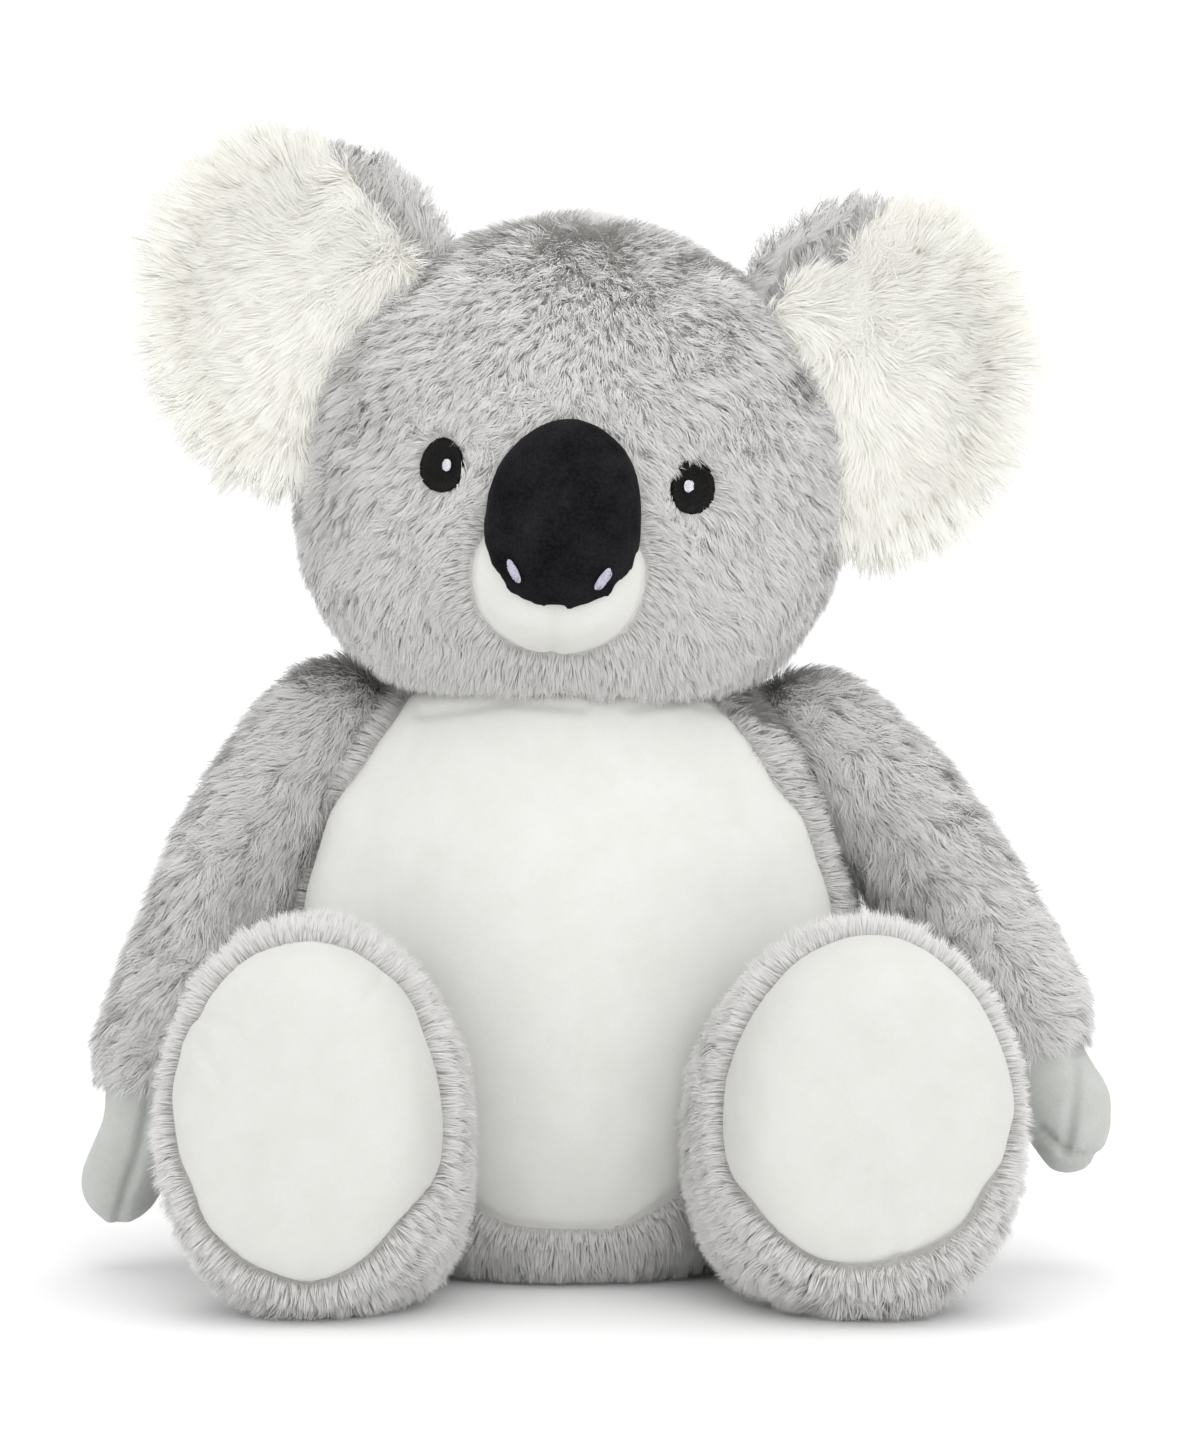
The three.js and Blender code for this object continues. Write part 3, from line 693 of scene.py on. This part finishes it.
class Patch:
    """The plane, the outline and the surface of an embroidered CAD node."""

    def __init__(self, node):
        co, tri = mesh_arrays(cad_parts[node].data)
        cross = triangle_cross(co, tri)
        self.out = unit(cross[unit(cross)[:, 1] < -0.3].sum(0))
        self.across = unit(np.cross((0, 0, 1), self.out))
        self.up = np.cross(self.out, self.across)
        flat = np.stack([co @ self.across, co @ self.up], 1)
        self.middle = (flat.min(0) + flat.max(0)) / 2
        self.depth = (co @ self.out).max()
        self.outline = hull(flat - self.middle)
        self.tree = bvhtree.BVHTree.FromPolygons(co.tolist(), tri.tolist())

    def radius(self, angle):
        """How far the outline is from the middle in each direction."""
        ends = np.roll(self.outline, -1, axis=0)
        way = np.stack([np.cos(angle), np.sin(angle)], 1)[:, None]
        edge = (ends - self.outline)[None]
        start = self.outline[None]
        turn = way[..., 0] * edge[..., 1] - way[..., 1] * edge[..., 0]
        turn = np.where(abs(turn) < 1e-15, 1e-15, turn)
        far = (start[..., 0] * edge[..., 1] - start[..., 1] * edge[..., 0]) / turn
        share = (start[..., 0] * way[..., 1] - start[..., 1] * way[..., 0]) / turn
        return np.where((share > -1e-6) & (share < 1 + 1e-6) & (far > 0), far, 0).max(1)

    def raised(self, flat, height):
        """Places over the patch's surface, from places in its plane."""
        flat = flat + self.middle
        points = flat[:, :1] * self.across + flat[:, 1:] * self.up + (self.depth + 5 * MM) * self.out
        down = Vector(-self.out)
        for i, point in enumerate(points):
            hit = self.tree.ray_cast(Vector(point), down)[0]
            if hit is None:
                hit = self.tree.find_nearest(Vector(point))[0]
            points[i] = hit
        return points + height[:, None] * self.out


def stitches(patch, start, end, width, rise):
    """Satin stitches between places in the patch's plane: each a rounded thread that arches over."""
    count, rows = len(start), 6
    share = np.linspace(0, 1, rows)
    along = unit(end - start)
    side = np.stack([-along[:, 1], along[:, 0]], 1)
    half = 0.5 * width * random.uniform(0.85, 1.15, count)
    flat, height = [], []
    for offset, lift in ((-1, 0.0), (-0.5, 0.75), (0.5, 0.75), (1, 0.0)):
        line = start[:, None] + share[None, :, None] * (end - start)[:, None]
        thin = (0.35 + 0.65 * np.sin(math.pi * np.clip(share, 0.04, 0.96)) ** 0.4)[None, :, None]
        flat.append(line + offset * (half[:, None] * side)[:, None] * thin)
        arch = rise * np.sin(math.pi * share) ** 0.6
        height.append(arch[None] + lift * half[:, None] * thin[0, :, 0])
    flat = np.stack(flat, 2).reshape(-1, 2)
    height = np.stack(height, 2).ravel()
    co = patch.raised(flat, height)
    faces = []
    for row in range(rows - 1):
        for k in range(3):
            a, b = row * 4 + k, row * 4 + k + 1
            faces += [(a, b, b + 4), (a, b + 4, a + 4)]
    faces = (np.array(faces)[None] + (np.arange(count) * rows * 4)[:, None, None]).reshape(-1, 3)
    return co, faces


def embroidered(name, node, ties, look, border=0.0, width=0.42 * MM, stitch=2.2 * MM, slant=0.3,
                rise=0.12 * MM, shrink=(1.0, 1.0)):
    """An embroidered patch in place of its CAD node: a base, rows of fill stitches, and a satin border.
    `shrink` makes it smaller than the node, along and across the node's longer axis."""
    patch = Patch(node)
    axes = np.linalg.svd(patch.outline, full_matrices=False)[2]
    patch.outline = (patch.outline @ axes.T * shrink) @ axes
    angle = np.linspace(0, 2 * math.pi, 49)[:-1]
    rim = patch.radius(angle)[:, None] * np.stack([np.cos(angle), np.sin(angle)], 1)
    rings = np.concatenate([[(0, 0)], 0.5 * rim, 0.97 * rim])
    base = patch.raised(rings, np.append(np.full(49, 0.05 * MM), np.full(48, -0.3 * MM)))
    k = np.arange(48)
    after = (k + 1) % 48
    base_faces = np.concatenate([
        np.stack([0 * k, 1 + k, 1 + after], 1),
        np.stack([1 + k, 49 + k, 49 + after], 1),
        np.stack([1 + k, 49 + after, 1 + after], 1),
    ])
    parts = [(base, base_faces)]

    way = np.array([math.cos(slant), math.sin(slant)])
    off = np.array([-way[1], way[0]])
    size = np.abs(rim).max() * 1.2
    start, end = [], []
    for number, row in enumerate(np.arange(-size, size, 0.8 * width)):
        first = -size + (number % 3) * stitch / 3
        for left in np.arange(first, size, stitch):
            start.append(left * way + row * off)
            end.append((left + 0.97 * stitch) * way + row * off)
    start, end = np.array(start), np.array(end)
    start += random.normal(0, 0.05 * MM, start.shape)
    inner = 1 - border

    def clipped(points):
        far = np.linalg.norm(points, axis=1)
        limit = inner * patch.radius(np.arctan2(points[:, 1], points[:, 0]))
        return points * np.minimum(1, limit / np.maximum(far, 1e-9))[:, None]

    start, end = clipped(start), clipped(end)
    middle = 1.02 * (start + end) / 2
    inside = np.linalg.norm(clipped(middle) - middle, axis=1) < 1e-7
    inside &= np.linalg.norm(end - start, axis=1) > 0.5 * width
    parts.append(stitches(patch, start[inside], end[inside], width, rise))

    if border:
        round_count = int(np.linalg.norm(np.diff(rim, axis=0), axis=1).sum() / (0.85 * width))
        angle = np.linspace(0, 2 * math.pi, round_count, endpoint=False)
        angle += random.normal(0, 0.012, round_count)
        way = np.stack([np.cos(angle), np.sin(angle)], 1)
        radius = patch.radius(angle)[:, None]
        outer = radius * random.uniform(1.0, 1.07, (round_count, 1)) * way
        turned = np.stack([np.cos(angle + 0.1), np.sin(angle + 0.1)], 1)
        parts.append(stitches(patch, (inner - 0.04) * radius * turned, outer, 1.15 * width, 3 * rise))

    co, faces, base = [], [], 0
    for part_co, part_faces in parts:
        co.append(part_co)
        faces.append(part_faces + base)
        base += len(part_co)
    made = new_object(name, np.concatenate(co), np.concatenate(faces))
    ties.finish(made, look, [node])


# Camera, lights and stage

def place_camera():
    camera = bpy.data.objects.new("camera", bpy.data.cameras.new("camera"))
    bpy.context.scene.collection.objects.link(camera)
    tilt = math.radians(CAMERA_ELEVATION)
    camera.location = Vector(AIM) + CAMERA_DISTANCE * Vector((0, -math.cos(tilt), math.sin(tilt)))
    camera.rotation_euler = (math.pi / 2 - tilt, 0, 0)
    camera.data.lens = CAMERA_LENS
    camera.data.sensor_width = SENSOR
    bpy.context.scene.camera = camera


def area_light(name, place, aim, size, power):
    light = bpy.data.lights.new(name, "AREA")
    light.shape = "DISK"
    light.size = size
    light.energy = power
    made = bpy.data.objects.new(name, light)
    bpy.context.scene.collection.objects.link(made)
    made.location = place
    made.rotation_euler = (Vector(aim) - Vector(place)).to_track_quat("-Z", "Y").to_euler()


def make_stage():
    """A pale floor that curves up into a backdrop, with soft lights round it."""
    half, back, rise, bend = 6.0, 3.0, 5.0, 1.5
    arc = np.linspace(0, math.pi / 2, 12)
    profile = [(-half, 0.0)]
    profile += [(back - bend + bend * math.sin(a), bend - bend * math.cos(a)) for a in arc]
    profile.append((back, rise))
    co = np.array([(x, y, z) for y, z in profile for x in (-half, half)])
    steps = range(0, 2 * len(profile) - 2, 2)
    faces = np.array([face for a in steps for face in ((a, a + 1, a + 3), (a, a + 3, a + 2))])
    floor = new_object("floor", co, faces)
    made, _, shader = material("floor", 0.9)
    shader.inputs["Base Color"].default_value = (FLOOR_SHADE, FLOOR_SHADE, FLOOR_SHADE, 1)
    floor.data.materials.append(made)

    scene = bpy.context.scene
    world = bpy.data.worlds.new("world")
    scene.world = world
    world.use_nodes = True
    world.node_tree.nodes["Background"].inputs["Color"].default_value = (1, 1, 1, 1)
    world.node_tree.nodes["Background"].inputs["Strength"].default_value = WORLD_STRENGTH
    for light in LIGHTS:
        area_light(*light)
    scene.view_settings.view_transform = "Standard"
    scene.view_settings.look = "None"


place_camera()
make_stage()

# Torso

DOWN = (0, -0.2, -1)
SIDE_STRIPS = [(-86, 5, 190), (-97, 5, 160), (-106, 5, 130), (60, 5, 185), (74, 5, 158), (86, 5, 130)]
CHIN_CREASES = [
    ([(-60, 0, 191), (-30, 0, 196), (-5, 0, 194)], 1.2 * MM),
    ([(12, 0, 194), (30, 0, 196), (48, 0, 190)], 1.0 * MM),
]
PRESSED_FLAT = 2 * MM
BELLY_EDGES = [(56, 192, 18, 12), (66, 166, 20, 7), (82, 138, 26, 5), (-92, 150, 24, -3)]
torso_ties = Ties("torso")
torso = Skin("torso", ["torso_cover", "belly_panel", "torso_filling"], 3.5 * MM, 20, 0.8 * MM)
torso.seam("belly", ["belly_panel"], ["torso_cover"], 10)
torso.waver("belly", 0.5 * MM, 40 * MM, 21)
torso.shift("belly", BELLY_EDGES)
torso.inflate("belly", 3 * MM)
torso.divide()
torso.snap("belly")
torso.groove("belly", 1.6 * MM)
for line, depth in CHIN_CREASES:
    torso.crease(line, depth, 2.2 * MM)
for place in SIDE_STRIPS:
    torso.swell(place, 16 * MM, 7 * MM)
torso.co[:, 2] = np.maximum(torso.co[:, 2], PRESSED_FLAT)
torso_cover = torso.side("belly")
torso_ties.finish(torso.panel("torso_skin", torso_cover), "grey_backing",
                  ["torso_cover", "torso_filling"], 0.8)
torso_ties.finish(torso.panel("belly_skin", ~torso_cover), "velboa", ["belly_panel"], 0.8)
plush(torso, "torso_pile", torso_cover, torso_ties, "grey_pile", [
    ((-10, -30, 5), (0, -0.3, -1), 0.5),
    ((-95, -5, 120), (-0.4, 0.2, -1), 0.55),
    ((78, -5, 120), (0.4, 0.2, -1), 0.55),
    ((-100, 50, 60), DOWN, 0.6),
    ((82, 50, 60), DOWN, 0.6),
    ((-10, 119, 100), (0, 0, -1), 0.6),
    ((-10, 48, 215), (0, -1, -0.3), 0.5),
], BODY_DENSITY, BODY_PILE, seams=["belly"])

# Head

head_ties = Ties("head")
MUZZLE = ["muzzle_left", "muzzle_right"]
head = Skin("head", ["head_cover", "head_filling", *MUZZLE], 3.2 * MM, 20, 0.8 * MM)
head.seam("muzzle", MUZZLE, ["head_cover"], 1)
head.seam("chin", ["muzzle_left"], ["muzzle_right"], 1)
from_nose = np.linalg.norm(head.co - np.array((-11.5, -40, 258)) * MM, axis=1) / MM
cheeks = np.clip((from_nose - 54) / 22, 0, 1)
head.press(-1.5 * MM * cheeks * (1 + np.clip((head.co[:, 0] - MIDLINE) / (80 * MM), 0, 1)))
head.swell((77, 30, 262), 45 * MM, 4 * MM)
head.swell((-96, 30, 245), 40 * MM, 2.5 * MM)
head.divide()
head.snap("muzzle")
head.groove("muzzle", 1.2 * MM, 2 * MM)
muzzle_faces = head.side("muzzle", False)
head.values["chin"] = np.where(head.values["muzzle"] < 1 * MM, head.values["chin"], 9)
head.groove("chin", 1.0 * MM, 1.3 * MM)
left_faces = head.side("chin", False)
head_ties.finish(head.panel("head_skin", ~muzzle_faces), "grey_backing", ["head_cover", "head_filling"], 0.9)
head_ties.finish(head.panel("muzzle_left_skin", muzzle_faces & left_faces), "velboa", ["muzzle_left"], 0.8)
head_ties.finish(head.panel("muzzle_right_skin", muzzle_faces & ~left_faces), "velboa", ["muzzle_right"], 0.8)
EYES = {"left": (-51.5, 275.5), "right": (31.5, 268)}
plush(head, "head_pile", ~muzzle_faces, head_ties, "grey_pile", [
    ((-35, -10, 328), (-0.6, -0.2, -0.8), 0.85),
    ((-60, 0, 320), (-0.7, 0, -0.7), 0.8),
    ((22, -8, 328), (0.4, -0.2, -0.8), 0.66),
    ((20, -20, 305), (0.4, -0.2, -0.8), 0.68),
    ((-12, -25, 300), (-0.3, 0, -1), 0.85),
    ((55, 0, 300), (0.6, 0, -0.8), 0.8),
    ((-75, -5, 265), (-0.35, 0, -1), 0.65),
    ((58, -5, 255), (0.35, 0, -1), 0.65),
    ((-55, -20, 235), (-0.5, 0, -1), 0.65),
    ((36, -20, 235), (0.5, 0, -1), 0.65),
    ((-10, -15, 208), (0, 0.2, -1), 0.6),
    ((-10, 42, 358), (0.2, 0.1, 0), 0.3),
    ((-10, 8, 348), (-0.2, -0.3, -0.9), 0.72),
    ((-45, 15, 343), (-0.7, -0.1, -0.5), 0.68),
    ((28, 15, 343), (0.7, -0.1, -0.5), 0.62),
    ((-10, 66, 350), (0, 1, 0), 0.55),
    ((-10, 104, 290), (0, 0, -1), 0.6),
    ((-97, 40, 270), (0, 0.2, -1), 0.6),
    ((77, 40, 270), (0, 0.2, -1), 0.6),
], BODY_DENSITY, BODY_PILE, seams=["muzzle"], gaps=[
    (*EYES["left"], 6.9, 8.9, 0.6),
    (*EYES["right"], 6.9, 8.5, 0.6),
    (-11.5, 255, 22.5, 27, 0.1),
])

# Nose

NOSE_MIDDLE = -11.5 * MM
NOSE_WIDTH = 1.04
# Where it is wider yet: height and reach in millimetres, and the share that is added
NOSE_WIDER = [(280, 14, 0.09), (229, 5.5, 0.14)]
nose = Skin("nose", ["nose_cover", "nose_filling"], 1.8 * MM, 12, 0.2 * MM)
nose.divide()
wider = np.full(len(nose.co), NOSE_WIDTH)
for height, reach, more in NOSE_WIDER:
    wider += more * np.exp(-(((nose.co[:, 2] - height * MM) / (reach * MM)) ** 2))
nose.co[:, 0] = NOSE_MIDDLE + (nose.co[:, 0] - NOSE_MIDDLE) * wider
nose.swell((-15, -50, 224), 4 * MM, -1.0 * MM)
head_ties.finish(nose.panel("nose_skin", np.ones(len(nose.tri), bool)), "nose_velboa",
                 ["nose_cover", "nose_filling"], 0.9)

for side in ("left", "right"):
    embroidered(f"eye_{side}_threads", f"eye_{side}", head_ties, "black_thread", border=0.3)
    embroidered(f"highlight_{side}_threads", f"eye_highlight_{side}", head_ties, "white_thread",
                width=0.35 * MM, stitch=6 * MM, slant=0.1, rise=0.5 * MM, shrink=(0.8, 0.72))
    embroidered(f"nostril_{side}_threads", f"nostril_{side}", head_ties, "pale_thread",
                width=0.35 * MM, stitch=9 * MM, slant=0.5 if side == "left" else -0.5, rise=0.5 * MM,
                shrink=(0.95, 0.62))

# Ears

EARS = {
    "left": ((-82, 29.7, 315.5), (-0.870, 0, 0.492), [
        ((-100, 10, 385), (-0.3, 0, 1), 0.7),
        ((-135, 10, 365), (-0.8, 0, 0.6), 0.7),
        ((-150, 10, 325), (-1, 0, 0), 0.75),
        ((-140, 10, 285), (-0.8, 0, -0.6), 0.75),
        ((-110, 10, 270), (-0.4, 0, -1), 0.75),
        ((-85, 10, 290), (-0.3, 0, -1), 0.75),
        ((-74, 10, 368), (-0.9, 0, -0.4), 0.45),
        ((-90, 10, 347), (-0.9, 0, -0.35), 0.7),
        ((-64, 10, 340), (-0.6, 0, -0.8), 0.6),
        ((-115, 10, 325), (-0.8, 0, -0.5), 0.7),
    ]),
    "right": ((71.4, 29.7, 296.2), (0.966, 0, 0.259), [
        ((60, 10, 340), (0.9, 0, -0.1), 0.6),
        ((78, 10, 350), (0.95, 0, -0.2), 0.75),
        ((110, 10, 362), (0.6, 0, 0.8), 0.7),
        ((100, 10, 345), (0.9, 0, 0.1), 0.75),
        ((133, 10, 345), (0.8, 0, 0.6), 0.7),
        ((142, 10, 312), (1, 0, -0.1), 0.75),
        ((130, 10, 275), (0.6, 0, -0.8), 0.75),
        ((105, 10, 260), (0.1, 0, -1), 0.75),
        ((80, 10, 280), (0, 0, -1), 0.75),
        ((55, 10, 328), (0.7, 0, -0.5), 0.7),
        ((96, 10, 317), (0.35, 0, -0.9), 0.7),
        ((113, 10, 308), (0.7, 0, -0.6), 0.7),
    ]),
}
EAR_EDGE = 9 * MM
LONG_PILE = {
    "seams": ["rim"], "width": 0.42 * MM, "hold": 0.34, "frizz": 0.26, "swirl": 0.3, "stray": 0.16,
    "over": True,
}
EAR_TURNS = {"left": [(-62, 374, 16, 9)], "right": [(74, 360, 18, 9)]}
for side, (pivot, outward, anchors) in EARS.items():
    pivot, outward = np.array(pivot), np.array(outward)
    ties = Ties(f"ear_{side}", "head", (pivot * MM).tolist(), ((pivot + 14 * outward) * MM).tolist())
    ear = Skin(f"ear_{side}", [f"ear_front_{side}", f"ear_back_{side}"], 2.2 * MM, 8, 0.3 * MM)
    ear.seam("rim", [f"ear_front_{side}"], [f"ear_back_{side}"])
    ear.shift("rim", EAR_TURNS[side])
    ear.press(-MM * (0.5 + 4.5 * (1 - ear.normals()[:, 1] ** 2)))
    ear.divide()
    ear.snap("rim")
    back = ear.side("rim")
    ties.finish(ear.panel(f"ear_front_{side}_skin", ~back), "white_backing", [f"ear_front_{side}"], 0.4)
    ties.finish(ear.panel(f"ear_back_{side}_skin", back), "grey_backing", [f"ear_back_{side}"], 0.4)
    plush(ear, f"ear_front_{side}_pile", ~back, ties, "white_pile", anchors, EAR_DENSITY, EAR_PILE,
          segments=3, clump=80, at_seam=0.8, seam_lean=0.9, edge_lean=0.5, **LONG_PILE)
    edge = ~back & (ear.values["rim"][ear.tri].mean(1) > -EAR_EDGE)
    plush(ear, f"ear_edge_{side}_pile", edge, ties, "white_pile", anchors, EAR_DENSITY, 0.75 * EAR_PILE,
          clump=60, at_seam=0.9, seam_lean=1.0, edge_lean=0.7, **LONG_PILE)
    upright = [(pivot + 45 * outward * (math.cos(turn), 0, math.cos(turn)), 2 * outward + (0, 0, 1), 0.6)
               for turn in (0, 1)]
    plush(ear, f"ear_back_{side}_pile", back, ties, "grey_pile", upright, BODY_DENSITY, ARM_PILE,
          seams=["rim"], hold=0.45, at_seam=0.3)

# Arms

ARMS = {"left": (-79.5, 47.85, 190), "right": (60.5, 47.85, 185)}
ARM_INNER = {
    "left": [(-84, -2, 188), (-94, -2, 165), (-104, -2, 140), (-112, -2, 118)],
    "right": [(56, -2, 186), (70, -2, 162), (84, -2, 138), (94, -2, 116)],
}
HAND_BULGES = {
    "left": [((-170, 10, 30), 12 * MM, 3 * MM), ((-173, 15, 51), 9 * MM, -2.5 * MM)],
    "right": [((172, 10, 58), 12 * MM, 4 * MM), ((160, 10, 37), 9 * MM, 2.5 * MM)],
}
HAND_SEAMS = {
    "left": [[(-152, 0, 62), (-156, 0, 42), (-166, 0, 12)]],
    "right": [[(164, 0, 78), (163.5, 0, 65), (160, 0, 42)], [(151, 0, 49), (161, 0, 40), (178, 0, 38)]],
}
for side, pivot in ARMS.items():
    sign = -1 if side == "left" else 1
    pivot = np.array(pivot)
    along = np.array((0.45 * sign, -0.18, -0.87))
    start, end = pivot - 12 * along, pivot + 55 * along
    ties = Ties(f"arm_{side}", "torso", (start * MM).tolist(), (end * MM).tolist())
    cover, hand = f"arm_cover_{side}", f"hand_cover_{side}"
    arm = Skin(f"arm_{side}", [cover, hand, f"arm_filling_{side}"], 2.8 * MM, 14, 0.8 * MM)
    arm.seam("cuff", [hand], [cover])
    arm.values["cuff"] = arm.values["cuff"] + 8 * MM
    outer = np.clip(0.3 + sign * arm.normals()[:, 0], -0.6, 1)
    arm.press(-MM * (1.2 + 2.8 * outer * np.clip(arm.values["cuff"] / (10 * MM), 0, 1)))
    arm.divide()
    arm.snap("cuff")
    arm.groove("cuff", 1.2 * MM)
    sleeve = arm.side("cuff")
    arm.swell(pivot + (14 * sign, -8, 14), 28 * MM, 7 * MM)
    for place in ARM_INNER[side]:
        arm.swell(place, 18 * MM, -9 * MM)
    for bulge in HAND_BULGES[side]:
        arm.swell(*bulge)
    for line in HAND_SEAMS[side]:
        arm.crease(line, 2.0 * MM, 1.8 * MM, 0.25 * MM)
    ties.finish(arm.panel(f"arm_{side}_skin", sleeve), "grey_backing", [cover, f"arm_filling_{side}"], 0.8)
    ties.finish(arm.panel(f"hand_{side}_skin", ~sleeve), "hand_velboa", [hand], 0.8)
    plush(arm, f"arm_{side}_pile", sleeve, ties, "grey_pile", [
        (pivot + 60 * along + (0, -30, 0), (0.7 * sign, -0.1, -0.8), 0.72),
        (pivot + 130 * along + (0, -30, 0), (0.5 * sign, -0.1, -0.9), 0.7),
        (pivot + (0, -20, 10), (0.8 * sign, -0.2, -0.6), 0.72),
        (pivot + 60 * along + (0, 40, 0), (0.5 * sign, 0.1, -0.9), 0.6),
    ], BODY_DENSITY, ARM_PILE)

# Legs

LEGS = {"left": (-61.5, 3.85, 52), "right": (42.5, 3.85, 52)}
SOLE_CREASES = {
    "left": [[(-128, 0, 99), (-114, 0, 95)], [(-65, 0, 116), (-72, 0, 105)], [(-125, 0, 88), (-119, 0, 78)]],
    "right": [[(85, 0, 50), (83.5, 0, 24)], [(93, 0, 46), (95, 0, 24)]],
}
SOLE_EDGES = {
    "left": [(-128, 99, 4, 3.5), (-65, 116, 4, 3.5), (-54, 28, 16, 8), (-122, 106, 16, 3), (-56, 108, 18, -6),
             (-52, 70, 22, -4)],
    "right": [(114, 34, 30, 2.5), (87, 20, 26, 3), (46, 75, 20, -3), (85, 118, 24, -4)],
}
for side, pivot in LEGS.items():
    sign = -1 if side == "left" else 1
    pivot = np.array(pivot)
    ties = Ties(f"leg_{side}", "torso", (pivot * MM).tolist(), ((pivot + (0, -34, 0)) * MM).tolist())
    cover, sole_node = f"leg_cover_{side}", f"sole_{side}"
    leg = Skin(f"leg_{side}", [cover, sole_node, f"leg_filling_{side}"], 3 * MM, 14, 0.6 * MM)
    leg.seam("rim", [sole_node], [cover], 6)
    leg.values["rim"] = leg.values["rim"] - 3 * MM
    leg.shift("rim", SOLE_EDGES[side])
    leg.waver("rim", 0.7 * MM, 28 * MM, 31)
    leg.inflate("rim", 2.5 * MM)
    leg.divide()
    leg.snap("rim")
    leg.groove("rim", 3.4 * MM, 2.0 * MM)
    for line in SOLE_CREASES[side]:
        leg.crease(line, 0.7 * MM, 2.2 * MM)
    leg.press(4.5 * MM * np.exp(-(((leg.values["rim"] - 9 * MM) / (2.4 * MM)) ** 2)))
    leg.swell(leg.co[leg.co[:, 2].argmax()] / MM, 30 * MM, 2.5 * MM)
    leg.swell((-52, -70, 16) if side == "left" else (36, -70, 16), 26 * MM, 8 * MM)
    leg.co[:, 2] = np.maximum(leg.co[:, 2], PRESSED_FLAT)
    fur = leg.side("rim")
    ties.finish(leg.panel(f"leg_{side}_skin", fur), "leg_backing_painted_shade", [cover, f"leg_filling_{side}"], 0.8)
    ties.finish(leg.panel(f"sole_{side}_skin", ~fur), "sole_velboa_painted_shade", [sole_node], 0.8)
    centre = leg.co[np.unique(leg.tri[~fur])].mean(0) / MM
    plush(leg, f"leg_{side}_pile", fur, ties, "grey_pile", [
        (centre + (0, 30, 55), (0, 0.9, 0.2), 0.5),
        (centre + (0, 30, -55), (0, 0.9, -0.3), 0.6),
        (centre + (50 * sign, 40, 0), (0.3 * sign, 0.6, -0.6), 0.68),
        (centre + (-50 * sign, 40, 0), (-0.3 * sign, 0.6, -0.6), 0.68),
        (centre + (0, 90, 0), (0, 0.6, -0.8), 0.6),
    ], BODY_DENSITY, BODY_PILE, seams=["rim"], at_seam=0.75, seam_lean=0.85, parting=9 * MM, bare=0.8 * MM)
